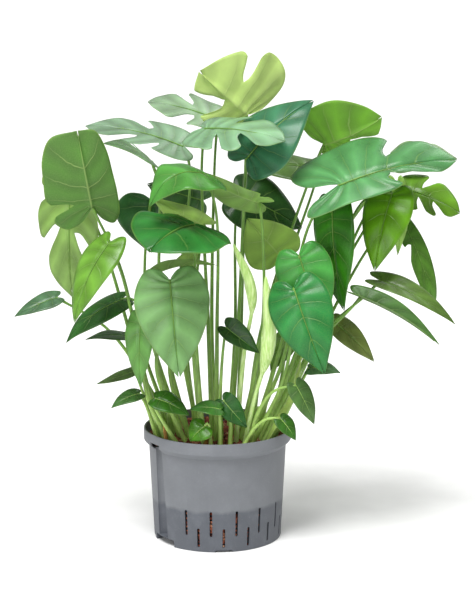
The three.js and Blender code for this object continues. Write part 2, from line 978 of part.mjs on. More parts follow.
    name: "folded_right_leaf",
    foot: [59, -37],
    via: [[160, -55, 160], [225, -65, 235]],
    colour: OLIVE,
    joint: [235, -70, 250],
    tip: [365, -95, 175],
    width: 44,
    faces: [-0.1, -0.3, 1],
    arch: 8,
    fold: 35,
    grid: [8, 4],
  },
  {
    name: "lower_right_leaf",
    foot: [76, -8],
    via: [[170, 0, 145]],
    colour: OLIVE,
    joint: [200, 10, 190],
    tip: [265, 0, 125],
    width: 42,
    faces: [-0.2, -0.7, 0.7],
    arch: 8,
    grid: [6, 2],
  },
  // low leaves near the rim
  {
    name: "low_middle_leaf",
    foot: [-49, -56],
    via: [[-105, -85, 75]],
    colour: DEEP,
    joint: [-100, -95, 85],
    tip: [-45, -110, 60],
    width: 44,
    faces: [0, -0.6, 0.8],
    arch: 6,
    grid: [6, 2],
  },
  {
    name: "centre_sprig_leaf",
    foot: [5, -72],
    via: [[5, -100, 60]],
    colour: DEEP,
    joint: [5, -105, 70],
    tip: [-45, -110, 70],
    width: 36,
    faces: [0, -0.5, 0.9],
    arch: 5,
    grid: [6, 2],
  },
  {
    name: "rim_heart_leaf",
    foot: [-7, -81],
    via: [[-15, -100, 45]],
    colour: BRIGHT,
    joint: [-20, -100, 40],
    tip: [-45, -105, 15],
    width: 44,
    faces: [-0.15, -0.8, 0.6],
    arch: 4,
    grid: [6, 2],
  },
  {
    name: "rim_middle_leaf",
    foot: [18, -62],
    via: [[20, -80, 70]],
    colour: DEEP,
    joint: [10, -85, 80],
    tip: [50, -95, 35],
    width: 40,
    faces: [-0.2, -0.9, 0.4],
    arch: 6,
    grid: [6, 2],
  },
  {
    name: "rim_right_leaf",
    foot: [31, -67],
    via: [[65, -85, 35], [85, -90, 50]],
    colour: BRIGHT,
    joint: [105, -90, 50],
    tip: [130, -100, 15],
    width: 32,
    faces: [0.3, -0.8, 0.6],
    arch: 4,
    grid: [6, 2],
  },
  {
    name: "hanging_rim_leaf",
    foot: [47, -56],
    via: [[65, -80, 50], [95, -100, 100]],
    colour: OLIVE,
    joint: [130, -105, 110],
    tip: [160, -110, 45],
    width: 38,
    faces: [0.2, -0.85, 0.4],
    arch: 6,
    grid: [6, 2],
  },
  {
    name: "small_right_leaf",
    foot: [72, -31],
    via: [[130, -45, 85]],
    colour: OLIVE,
    joint: [155, -45, 125],
    tip: [205, -60, 120],
    width: 38,
    faces: [0, -0.5, 0.9],
    arch: 5,
    grid: [6, 2],
  },
  {
    name: "olive_right_leaf",
    foot: [58, 25],
    via: [[100, 30, 50]],
    colour: OLIVE,
    joint: [120, 40, 160],
    tip: [90, 15, 105],
    width: 42,
    faces: [0, -0.9, 0.4],
    grid: [6, 2],
  },
];

const root = new THREE.Group();
root.add(mesh("culture_pot", potSolid(), POT_GREY, 0.6));
root.add(mesh("granulate_bed", bedSolid(), FIRED_CLAY, 0.95));
for (const leaf of LEAVES) {
  const whole = bladeSolid(leaf).add(stalkSolid(leaf));
  root.add(mesh(leaf.name, whole, leaf.colour, 0.45));
}
for (const leaf of ROLLED_LEAVES) {
  root.add(mesh(leaf.name, rolledLeafSolid(leaf), YOUNG, 0.5));
}
for (const shoot of SHOOTS) {
  root.add(mesh(shoot.name, shootSolid(shoot), shoot.colour, 0.7));
}
root.add(mesh("opened_sheath", sheathSolid(SHEATH), YOUNG, 0.5));
export default root;
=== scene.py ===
"""A potted monstera: a slotted culture pot, clay granulate, and leaves on long stalks.

Lengths are in millimetres until a piece is finished, when its mesh is scaled to metres. The origin is
the middle of the pot's underside, +X is the plant's right and -Y its front.
"""

import math
import random
from functools import partial
from types import SimpleNamespace

import bmesh
import bpy
from mathutils import Matrix, Vector


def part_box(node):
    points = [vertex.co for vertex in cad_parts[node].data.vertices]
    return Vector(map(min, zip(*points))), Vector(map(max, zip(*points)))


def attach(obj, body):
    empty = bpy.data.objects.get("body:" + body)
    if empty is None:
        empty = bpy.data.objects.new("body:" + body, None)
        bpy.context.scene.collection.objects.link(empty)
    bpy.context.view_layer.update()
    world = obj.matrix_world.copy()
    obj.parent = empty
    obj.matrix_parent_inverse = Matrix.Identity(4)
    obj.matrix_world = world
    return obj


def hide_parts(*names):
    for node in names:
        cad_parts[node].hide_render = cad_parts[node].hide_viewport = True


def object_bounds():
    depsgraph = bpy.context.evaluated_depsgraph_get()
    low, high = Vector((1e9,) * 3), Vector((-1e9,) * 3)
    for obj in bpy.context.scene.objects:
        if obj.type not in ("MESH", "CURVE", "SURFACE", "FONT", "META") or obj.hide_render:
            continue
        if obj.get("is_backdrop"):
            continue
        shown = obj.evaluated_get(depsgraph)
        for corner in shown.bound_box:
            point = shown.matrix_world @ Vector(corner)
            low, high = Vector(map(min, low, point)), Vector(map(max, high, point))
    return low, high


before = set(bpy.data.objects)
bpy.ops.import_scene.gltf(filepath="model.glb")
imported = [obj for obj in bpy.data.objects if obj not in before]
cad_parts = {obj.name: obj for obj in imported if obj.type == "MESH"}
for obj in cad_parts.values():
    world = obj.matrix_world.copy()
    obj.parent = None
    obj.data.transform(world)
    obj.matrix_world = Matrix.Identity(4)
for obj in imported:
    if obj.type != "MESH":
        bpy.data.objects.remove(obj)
cad_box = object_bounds()

MM = 0.001
UP = Vector((0, 0, 1))
FULL_TURN = 6.3

# Pot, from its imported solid, and the wall's own sizes
pot_low, pot_high = (corner / MM for corner in map(Vector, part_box("culture_pot")))
POT_HEIGHT = pot_high.z
RIM_RADIUS = (pot_high.x - pot_low.x) / 2
BED_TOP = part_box("granulate_bed")[1][2] / MM
RIM_OVERHANG = 8.5
TAPER = 8.5
BODY_TOP_RADIUS = RIM_RADIUS - RIM_OVERHANG
FOOT_RADIUS = BODY_TOP_RADIUS - TAPER
RIM_BAND = 20
RIM_CHAMFER = 8
RIM_LIP = 3
WALL = 2.6
FLOOR = 5
FIT = 0.4
BED_RADIUS = RIM_RADIUS - RIM_LIP - FIT
BODY_TOP = POT_HEIGHT - RIM_BAND - RIM_CHAMFER
RIM_LOW = POT_HEIGHT - RIM_BAND
POT_STEPS = 144

# Slots, drain notches and the channel for the water gauge
SLOTS_ROUND = 16
SLOT_WIDTH = 4.5
SLOT_START = 6
UPPER_SLOT = (27, 71)
LOWER_SLOT = (8, 41)
NOTCHES = 4
NOTCH_WIDTH = 28
NOTCH_RISE = 3.5
NOTCH_REACH = 26
CHANNEL_ANGLE = 213
CHANNEL_TOP_RADIUS = 9
CHANNEL_LOW_RADIUS = 14
CHANNEL_LOW = 13
CHANNEL_STEPS = 48
SLOT_TO_CHANNEL = 18
RIM_CUT_WIDTH = 28
RIM_CUT_DEEP = 15
RIM_CUT_RISE = 7
FOOT_CUT_WIDTH = 56
FOOT_CUT_RISE = 12
FOOT_CUT_REACH = 45
CUT_PAST = 5
EDGE_SOFTENING = 0.5
DAMP_LINE = 70

# Stalks
STALK_FOOT_RADIUS = 4.6
STALK_TOP_RADIUS = 2.1
STALK_SUNK = 12
PALE_STALK = 190
BLADE_THICKNESS = 0.5
SHEATH_THICKNESS = 0.9


def lerp(start, end, share):
    return start + (end - start) * share


def clamp(value, low=0.0, high=1.0):
    return max(low, min(high, value))


def smooth(value):
    """A soft step from 0 to 1."""
    value = clamp(value)
    return value * value * (3 - 2 * value)


def above(place):
    """A place of the plant from its height above the bed."""
    x, y, height = place
    return Vector((x, y, BED_TOP + height))


def path_from(foot, places):
    """The points of a stalk, from a foot in percent of the bed's radius, a little sunk into the bed."""
    x, y = (share * BED_RADIUS / 100 for share in foot)
    return [Vector((x, y, BED_TOP - STALK_SUNK)), *map(above, places)]


# Curves ------------


def curve_point(points, share):
    """The point at a share of the way along a centripetal Catmull-Rom curve."""
    last = len(points) - 1
    start = min(int(share * last), last - 1)
    weight = share * last - start
    b, c = points[start], points[start + 1]
    a = points[start - 1] if start else 2 * b - c
    d = points[start + 2] if start + 2 <= last else 2 * c - b
    before, across, after = ((q - p).length ** 0.5 for p, q in ((a, b), (b, c), (c, d)))
    leaving = across * ((b - a) / before - (c - a) / (before + across)) + c - b
    arriving = across * ((d - c) / after - (d - b) / (across + after)) + c - b
    square, cube = weight ** 2, weight ** 3
    return (
        b * (2 * cube - 3 * square + 1)
        + c * (3 * square - 2 * cube)
        + leaving * (cube - 2 * square + weight)
        + arriving * (cube - square)
    )


def route(points, steps):
    """(spot, normal, binormal) at equal distances along a curve through the points."""
    fine = [curve_point(points, i / (8 * steps)) for i in range(8 * steps + 1)]
    lengths = [0.0]
    for near, far in zip(fine, fine[1:]):
        lengths.append(lengths[-1] + (far - near).length)
    spots, place = [], 0
    for step in range(steps + 1):
        wanted = lengths[-1] * step / steps
        while place < len(fine) - 2 and lengths[place + 1] < wanted:
            place += 1
        span = lengths[place + 1] - lengths[place]
        spots.append(fine[place].lerp(fine[place + 1], clamp((wanted - lengths[place]) / span)))
    frames = []
    tangent = (spots[1] - spots[0]).normalized()
    normal = tangent.cross(Vector((1, 0, 0))).normalized()
    for step, spot in enumerate(spots):
        ahead = spots[min(step + 1, steps)] - spots[max(step - 1, 0)]
        turn = tangent.rotation_difference(ahead.normalized())
        tangent = ahead.normalized()
        normal = turn @ normal
        frames.append((spot, normal, tangent.cross(normal)))
    return frames


# Meshes ------------


def join(bm, other):
    """Adds another bmesh's shape to this one."""
    carrier = bpy.data.meshes.new("carrier")
    other.to_mesh(carrier)
    other.free()
    bm.from_mesh(carrier)
    bpy.data.meshes.remove(carrier)


def add_tube(bm, place, around, along):
    """A closed tube in the bmesh whose wall goes through place(angle, step)."""
    tube = bmesh.new()
    bmesh.ops.create_cone(tube, segments=around, radius1=1, radius2=1, depth=2)
    upright = [edge for edge in tube.edges if abs(edge.verts[0].co.z - edge.verts[1].co.z) > 1]
    bmesh.ops.subdivide_edges(tube, edges=upright, cuts=along - 1)
    for vert in tube.verts:
        angle = math.atan2(vert.co.y, vert.co.x)
        step = round((vert.co.z + 1) / 2 * along)
        vert.co = place(angle, step)
    ends = [edge for edge in tube.edges if edge.is_boundary]
    bmesh.ops.holes_fill(tube, edges=ends, sides=0)
    bmesh.ops.recalc_face_normals(tube, faces=tube.faces)
    join(bm, tube)


def add_rod(bm, points, radius, steps, around=10, groove=0.0):
    """A closed rod along a curve, with radius(share of the way, angle)."""
    frames = route(points, steps)

    def place(angle, step):
        spot, normal, binormal = frames[step]
        reach = radius(step / steps, angle) * (1 - groove * max(0.0, math.cos(angle)) ** 4)
        return spot + reach * (math.cos(angle) * normal + math.sin(angle) * binormal)

    add_tube(bm, place, around, steps)


def add_turned(bm, profile, steps):
    """A surface turned about the pot's axis from (radius, height) points."""
    verts = [bm.verts.new((radius, 0, height)) for radius, height in profile]
    edges = [bm.edges.new(pair) for pair in zip(verts, verts[1:])]
    bmesh.ops.spin(
        bm, geom=verts + edges, cent=(0, 0, 0), axis=UP, angle=2 * math.pi, steps=steps, use_merge=True
    )
    bmesh.ops.remove_doubles(bm, verts=bm.verts, dist=1e-3)
    bmesh.ops.recalc_face_normals(bm, faces=bm.faces)


def new_object(name, bm, materials=()):
    """An object from a bmesh in millimetres."""
    bmesh.ops.scale(bm, vec=Vector((MM, MM, MM)), verts=bm.verts)
    mesh = bpy.data.meshes.new(name)
    bm.to_mesh(mesh)
    bm.free()
    for material in materials:
        mesh.materials.append(material)
    made = bpy.data.objects.new(name, mesh)
    bpy.context.collection.objects.link(made)
    return made


def finish_piece(piece, node, slot, sharp=None):
    """Smooth faces, and the piece's body and the node it stands for; slot, its material slot, is not
    used.
    """
    for face in piece.data.polygons:
        face.use_smooth = True
    if sharp:
        piece.data.set_sharp_from_angle(angle=math.radians(sharp))
    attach(piece, "root")
    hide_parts(node)
    return piece


def thicken(piece, name, wall):
    """Gives a sheet its thickness, with the piece's second material on its far side."""
    thickness = piece.modifiers.new(name, "SOLIDIFY")
    thickness.thickness = wall * MM
    thickness.offset = 0
    thickness.material_offset = 1


def cut(piece, cutter, operation="DIFFERENCE"):
    """Cuts a helper object's shape out of the piece, or joins it on, and removes the helper."""
    boolean = piece.modifiers.new("cut", "BOOLEAN")
    boolean.operation = operation
    boolean.solver = "EXACT"
    boolean.object = cutter
    depsgraph = bpy.context.evaluated_depsgraph_get()
    piece.data = bpy.data.meshes.new_from_object(piece.evaluated_get(depsgraph))
    piece.modifiers.clear()
    bpy.data.objects.remove(cutter)


# Materials ------------


def linear(code):
    """An sRGB hex colour as linear light."""
    parts = [int(code[i : i + 2], 16) / 255 for i in (1, 3, 5)]
    return (*(c / 12.92 if c <= 0.04045 else ((c + 0.055) / 1.055) ** 2.4 for c in parts), 1.0)


def add_node(tree, kind, links=None, out=0, stops=(), **settings):
    """Adds a node with its settings and its inputs, as values or sockets; returns an output socket."""
    made = tree.nodes.new("ShaderNode" + kind)
    for name, value in settings.items():
        setattr(made, name, value)
    for name, value in (links or {}).items():
        if isinstance(value, bpy.types.NodeSocket):
            tree.links.new(value, made.inputs[name])
        else:
            made.inputs[name].default_value = value
    for element, (position, colour) in zip(range(len(stops)), stops):
        spots = made.color_ramp.elements
        spot = spots[element] if element < len(spots) else spots.new(position)
        spot.position = position
        spot.color = colour
    return made.outputs[out]


def start_material(name, **finish):
    """A named material, its shader with the finish that is the same all over, and add() for its nodes."""
    material = bpy.data.materials.new(name)
    material.use_nodes = True
    shader = material.node_tree.nodes["Principled BSDF"]
    for socket, value in finish.items():
        shader.inputs[socket.replace("_", " ")].default_value = value
    return material, shader, partial(add_node, material.node_tree)


def drive(material, **sources):
    """Links the shader's sockets that vary over the surface to their sources; returns the material."""
    shader = material.node_tree.nodes["Principled BSDF"]
    for socket, source in sources.items():
        material.node_tree.links.new(source, shader.inputs[socket.replace("_", " ")])
    return material


SOFT = "SMOOTHSTEP"
COLOUR_MIX = dict(data_type="RGBA", out=2)


def per_metre(size):
    """The texture scale whose features are about size millimetres across."""
    return 1 / (size * MM)


def blade_material(name, underside):
    """Leaf blade. A waxy cuticle over a cell layer: a soft gloss, sunken pale veins and quilting
    between them on top; a duller, paler face with raised veins underneath."""
    material, shader, add = start_material(name, IOR=1.36, Subsurface_Weight=0.06)
    shader.inputs["Subsurface Radius"].default_value = (0.4, 0.8, 0.15)
    shader.inputs["Subsurface Scale"].default_value = 1.5 * MM
    own = add("VertexColor", layer_name="leaf_green")
    veins = add("UVMap", uv_map="veins")
    run = add("SeparateXYZ", {0: veins}, out=1)
    across = add("Math", {0: run.node.outputs[0]}, operation="ABSOLUTE")
    spot = add("TexCoord", out=3)
    # the side veins wander a little off their lines
    wander = add("TexNoise", {"Vector": spot, "Scale": per_metre(25), "Detail": 2.0})
    moved = add("MapRange", {0: wander, 3: -0.12, 4: 0.12})
    shifted = add("Math", {0: run, 1: moved}, operation="ADD")
    turn = add("Math", {0: shifted}, operation="FRACT")
    centred = add("Math", {0: turn, 1: 0.5}, operation="SUBTRACT")
    near_vein = add("Math", {0: centred}, operation="ABSOLUTE")
    start = add("MapRange", {0: across, 3: 0.45, 4: 0.485})
    side_vein = add("MapRange", {0: near_vein, 1: start, 2: 0.5}, interpolation_type=SOFT)
    fading = add("MapRange", {0: across, 1: 0.55, 2: 1.0, 3: 1.0, 4: 0.25})
    side_vein = add("Math", {0: side_vein, 1: fading}, operation="MULTIPLY")
    midrib = add("MapRange", {0: across, 1: 0.05, 2: 0.012}, interpolation_type=SOFT)
    vein = add("Math", {0: side_vein, 1: midrib}, operation="MAXIMUM")
    # the fine net between the side veins
    net = add("TexVoronoi", {"Vector": spot, "Scale": per_metre(3.2)}, feature="DISTANCE_TO_EDGE")
    net_line = add("MapRange", {0: net, 1: 0.0, 2: 0.12, 3: 1.0, 4: 0.0})
    # colour: patches of age and light, then the veins, then the thin pale margin
    patches = add("TexNoise", {"Vector": spot, "Scale": per_metre(60), "Detail": 4.0, "Roughness": 0.5})
    shade = add("MapRange", {0: patches, 1: 0.3, 2: 0.7, 3: 0.66, 4: 1.04})
    tone = add("VectorMath", {0: own, 1: shade}, operation="MULTIPLY")
    # painted light and shade of the quilting: lighter on the bulges between side veins, darker in the
    # sunken grooves along them
    between = add("MapRange", {0: near_vein, 1: 0.0, 2: 0.5, 3: 1.12, 4: 0.74})
    tone = add("VectorMath", {0: tone, 1: between}, operation="MULTIPLY")
    pale = linear("#a9c274") if underside else linear("#8fb45a")
    if underside:
        tone = add("Mix", {0: 0.18, 6: tone, 7: linear("#93b46c")}, **COLOUR_MIX)
    share = add("Math", {0: vein, 1: 0.4 if underside else 0.3}, operation="MULTIPLY")
    veined = add("Mix", {0: share, 6: tone, 7: pale}, **COLOUR_MIX)
    net_share = add("Math", {0: net_line, 1: 0.08}, operation="MULTIPLY")
    netted = add("Mix", {0: net_share, 6: veined, 7: pale}, **COLOUR_MIX)
    edge = add("MapRange", {0: across, 1: 0.965, 2: 1.0, 3: 0.0, 4: 0.3})
    final = add("Mix", {0: edge, 6: netted, 7: linear("#9dbb5c")}, **COLOUR_MIX)
    # finish
    dull = (0.5, 0.66) if underside else (0.24, 0.38)
    rough = add("MapRange", {0: patches, 1: 0.3, 2: 0.7, 3: dull[0], 4: dull[1]})
    relief = add("Math", {0: vein, 1: 1.0 if underside else -0.8}, operation="MULTIPLY")
    fine = add("Math", {0: net_line, 1: -0.12}, operation="MULTIPLY")
    height = add("Math", {0: relief, 1: fine}, operation="ADD")
    bump = add("Bump", {"Height": height, "Distance": 0.6 * MM, "Strength": 0.6})
    return drive(material, Base_Color=final, Roughness=rough, Normal=bump)


def stalk_material(name, foot, top):
    """Leaf stalk. Green skin with fine lengthwise fibres, paler and juicier near the foot."""
    material, shader, add = start_material(name, IOR=1.42, Subsurface_Weight=0.15, Roughness=0.42)
    shader.inputs["Subsurface Radius"].default_value = (0.5, 0.9, 0.2)
    shader.inputs["Subsurface Scale"].default_value = 2 * MM
    spot = add("TexCoord", out=3)
    height = add("SeparateXYZ", {0: spot}, out=2)
    heights = {0: height, 1: BED_TOP * MM, 2: (BED_TOP + PALE_STALK) * MM}
    climb = add("MapRange", heights, interpolation_type=SOFT)
    fibres = add("Mapping", {"Vector": spot, "Scale": (1, 1, 0.06)})
    streaks = add("TexNoise", {"Vector": fibres, "Scale": per_metre(1.6), "Detail": 3.0})
    blotches = add("TexNoise", {"Vector": spot, "Scale": per_metre(30), "Detail": 2.0})
    base = add("Mix", {0: climb, 6: linear(foot), 7: linear(top)}, **COLOUR_MIX)
    streaked = add("MapRange", {0: streaks, 1: 0.3, 2: 0.7, 3: 0.82, 4: 1.2})
    blotched = add("MapRange", {0: blotches, 1: 0.3, 2: 0.7, 3: 0.8, 4: 1.2})
    shade = add("Math", {0: streaked, 1: blotched}, operation="MULTIPLY")
    final = add("VectorMath", {0: base, 1: shade}, operation="MULTIPLY")
    bump = add("Bump", {"Height": streaks, "Distance": 0.3 * MM, "Strength": 0.4})
    return drive(material, Base_Color=final, Normal=bump)


def dry_stalk_material():
    """Dried stump of a stalk. Papery brown fibres that have shrunk into furrows."""
    material, _, add = start_material("dried stalk fibre", Roughness=0.85)
    spot = add("TexCoord", out=3)
    fibres = add("Mapping", {"Vector": spot, "Scale": (1, 1, 0.08)})
    streaks = add("TexNoise", {"Vector": fibres, "Scale": per_metre(1.2), "Detail": 4.0})
    stops = ((0.25, linear("#5a3d1c")), (0.5, linear("#a97b3a")), (0.75, linear("#d8b36a")))
    colour = add("ValToRGB", {0: streaks}, stops=stops)
    bump = add("Bump", {"Height": streaks, "Distance": 0.6 * MM, "Strength": 0.8})
    return drive(material, Base_Color=colour, Normal=bump)


def pot_material():
    """Injection-moulded polypropylene. A satin grey skin with a faint orange peel, rubbed dust, dark
    specks painted as shade in small pits, and a darker band where the foot has stood in water."""
    material, _, add = start_material("moulded grey polypropylene", IOR=1.49)
    spot = add("TexCoord", out=3)
    height = add("SeparateXYZ", {0: spot}, out=2)
    ripple = add("TexNoise", {"Vector": spot, "Scale": per_metre(22), "Detail": 4.0})
    shift = add("MapRange", {0: ripple, 3: -5 * MM, 4: 5 * MM})
    level = add("Math", {0: height, 1: shift}, operation="ADD")
    damp = add("MapRange", {0: level, 1: (DAMP_LINE + 3) * MM, 2: (DAMP_LINE - 4) * MM})
    clouds = add("TexNoise", {"Vector": spot, "Scale": per_metre(45), "Detail": 5.0, "Roughness": 0.6})
    stops = ((0.3, linear("#6a6d72")), (0.55, linear("#707378")), (0.75, linear("#777a7f")))
    dry = add("ValToRGB", {0: clouds}, stops=stops)
    wet_stops = ((0.3, linear("#4c5058")), (0.55, linear("#52565e")), (0.75, linear("#5d6169")))
    wet = add("ValToRGB", {0: ripple}, stops=wet_stops)
    amount = add("Math", {0: damp, 1: 0.85}, operation="MULTIPLY")
    base = add("Mix", {0: amount, 6: dry, 7: wet}, **COLOUR_MIX)
    # rubbed dust specks, and dark specks painted as shade in small pits
    specks = add("TexNoise", {"Vector": spot, "Scale": per_metre(1.3), "Detail": 2.0})
    speck = add("MapRange", {0: specks, 1: 0.66, 2: 0.74, 3: 0.0, 4: 0.35})
    dusty = add("Mix", {0: speck, 6: base, 7: linear("#a9a9a8")}, **COLOUR_MIX)
    painted_pit_shade = add("MapRange", {0: specks, 1: 0.33, 2: 0.26, 3: 0.0, 4: 0.3})
    final = add("Mix", {0: painted_pit_shade, 6: dusty, 7: linear("#4b4d52")}, **COLOUR_MIX)
    rough = add("MapRange", {0: clouds, 1: 0.3, 2: 0.7, 3: 0.48, 4: 0.62})
    peel = add("TexNoise", {"Vector": spot, "Scale": per_metre(2.5), "Detail": 2.0})
    bump = add("Bump", {"Height": peel, "Distance": 0.15 * MM, "Strength": 0.35})
    return drive(material, Base_Color=final, Roughness=rough, Normal=bump)


def granule_material():
    """Fired clay granulate. Matt, porous, brick red to brown, with lime-pale faces on some grains."""
    material, _, add = start_material("fired clay granulate", Roughness=0.95)
    tone = add("Attribute", attribute_name="tone", out=2)
    spot = add("TexCoord", out=3)
    lumps = {"Vector": spot, "Scale": per_metre(2.2), "Detail": 5.0, "Roughness": 0.65}
    grain = add("TexNoise", lumps)
    mixed = add("MapRange", {0: grain, 1: 0.25, 2: 0.75, 3: -0.22, 4: 0.22})
    place = add("Math", {0: tone, 1: mixed}, operation="ADD")
    stops = (
        (0.0, linear("#2c130c")),
        (0.35, linear("#6d3426")),
        (0.65, linear("#98553f")),
        (0.88, linear("#b87c60")),
        (1.0, linear("#cfab90")),
    )
    colour = add("ValToRGB", {0: place}, stops=stops)
    pores = add("TexVoronoi", {"Vector": spot, "Scale": per_metre(1.1)})
    both = add("Math", {0: pores, 1: grain}, operation="ADD")
    bump = add("Bump", {"Height": both, "Distance": 0.7 * MM, "Strength": 0.9})
    return drive(material, Base_Color=colour, Normal=bump)


def young_leaf_material():
    """Young leaf, still rolled. Thin pale tissue with close parallel veins and a soft sheen."""
    material, shader, add = start_material("rolled young leaf tissue", IOR=1.42, Subsurface_Weight=0.3)
    shader.inputs["Subsurface Radius"].default_value = (0.6, 1.0, 0.3)
    shader.inputs["Subsurface Scale"].default_value = 3 * MM
    spot = add("TexCoord", out=3)
    fibres = add("Mapping", {"Vector": spot, "Scale": (1, 1, 0.12)})
    streaks = add("TexNoise", {"Vector": fibres, "Scale": per_metre(2.5), "Detail": 3.0})
    stops = ((0.3, linear("#a4cb6c")), (0.5, linear("#bedb8a")), (0.72, linear("#d9ecb2")))
    colour = add("ValToRGB", {0: streaks}, stops=stops)
    rough = add("MapRange", {0: streaks, 3: 0.32, 4: 0.5})
    bump = add("Bump", {"Height": streaks, "Distance": 0.4 * MM, "Strength": 0.5})
    return drive(material, Base_Color=colour, Roughness=rough, Normal=bump)


def floor_material():
    """Matt studio paper."""
    material, _, add = start_material("matt studio paper", Roughness=0.9)
    spot = add("TexCoord", out=3)
    grain = add("TexNoise", {"Vector": spot, "Scale": per_metre(60), "Detail": 2.0})
    stops = ((0.3, linear("#f2f2f1")), (0.7, linear("#f6f6f5")))
    colour = add("ValToRGB", {0: grain}, stops=stops)
    return drive(material, Base_Color=colour)


BLADE_TOP = blade_material("waxy leaf blade, upper face", underside=False)
BLADE_UNDER = blade_material("leaf blade, under face", underside=True)
STALK_SKIN = stalk_material("leaf stalk skin", foot="#a3c468", top="#6c9440")
SHOOT_SKIN = stalk_material("shoot skin", foot="#a9c66e", top="#7fa04a")
DRY_FIBRE = dry_stalk_material()
POT_PLASTIC = pot_material()
FIRED_CLAY = granule_material()
YOUNG_TISSUE = young_leaf_material()

# Leaves ------------

DEEP, GREY, BRIGHT, OLIVE, YELLOW = (
    "leaf_deep_green",
    "leaf_grey_green",
    "leaf_bright_green",
    "leaf_olive_green",
    "leaf_yellow_green",
)

# One half of a blade's outline, from the notch at the stalk to the tip, as shares of width and length
HEART, BROAD, LOBED, BLUNT = (
    [Vector(point) for point in outline]
    for outline in (
        ((0.02, -0.03), (0.12, -0.11), (0.3, -0.13), (0.43, -0.02), (0.5, 0.17),
         (0.46, 0.4), (0.33, 0.64), (0.14, 0.86), (0.008, 1)),
        ((0.02, -0.03), (0.14, -0.12), (0.34, -0.13), (0.46, 0), (0.51, 0.2),
         (0.5, 0.45), (0.41, 0.68), (0.23, 0.88), (0.008, 1)),
        ((0.02, -0.03), (0.16, -0.24), (0.36, -0.32), (0.5, -0.16), (0.53, 0.12),
         (0.5, 0.42), (0.4, 0.68), (0.22, 0.88), (0.008, 1)),
        ((0.02, -0.03), (0.16, -0.2), (0.36, -0.3), (0.5, -0.16), (0.54, 0.12),
         (0.52, 0.42), (0.48, 0.72), (0.34, 0.96), (0.008, 1)),
    )
)


def leaf(name, kind, colour, foot, via, joint, tip, width, faces, **shape):
    """One leaf, from its stalk's foot through the places it passes and its joint to the tip. arch bows
    the midrib, fold lifts both halves, curl drops the margins; a slit is (side, first, last, depth):
    where it opens along the margin and how near the midrib it ends."""
    usual = dict(arch=0, fold=0, curl=0, halves=(1, 1), outline=HEART, slits=())
    return SimpleNamespace(
        name=name + "_leaf", kind=kind, colour=colour, path=path_from(foot, (*via, joint)),
        joint=above(joint), tip=above(tip), width=width, faces=Vector(faces), **{**usual, **shape},
    )


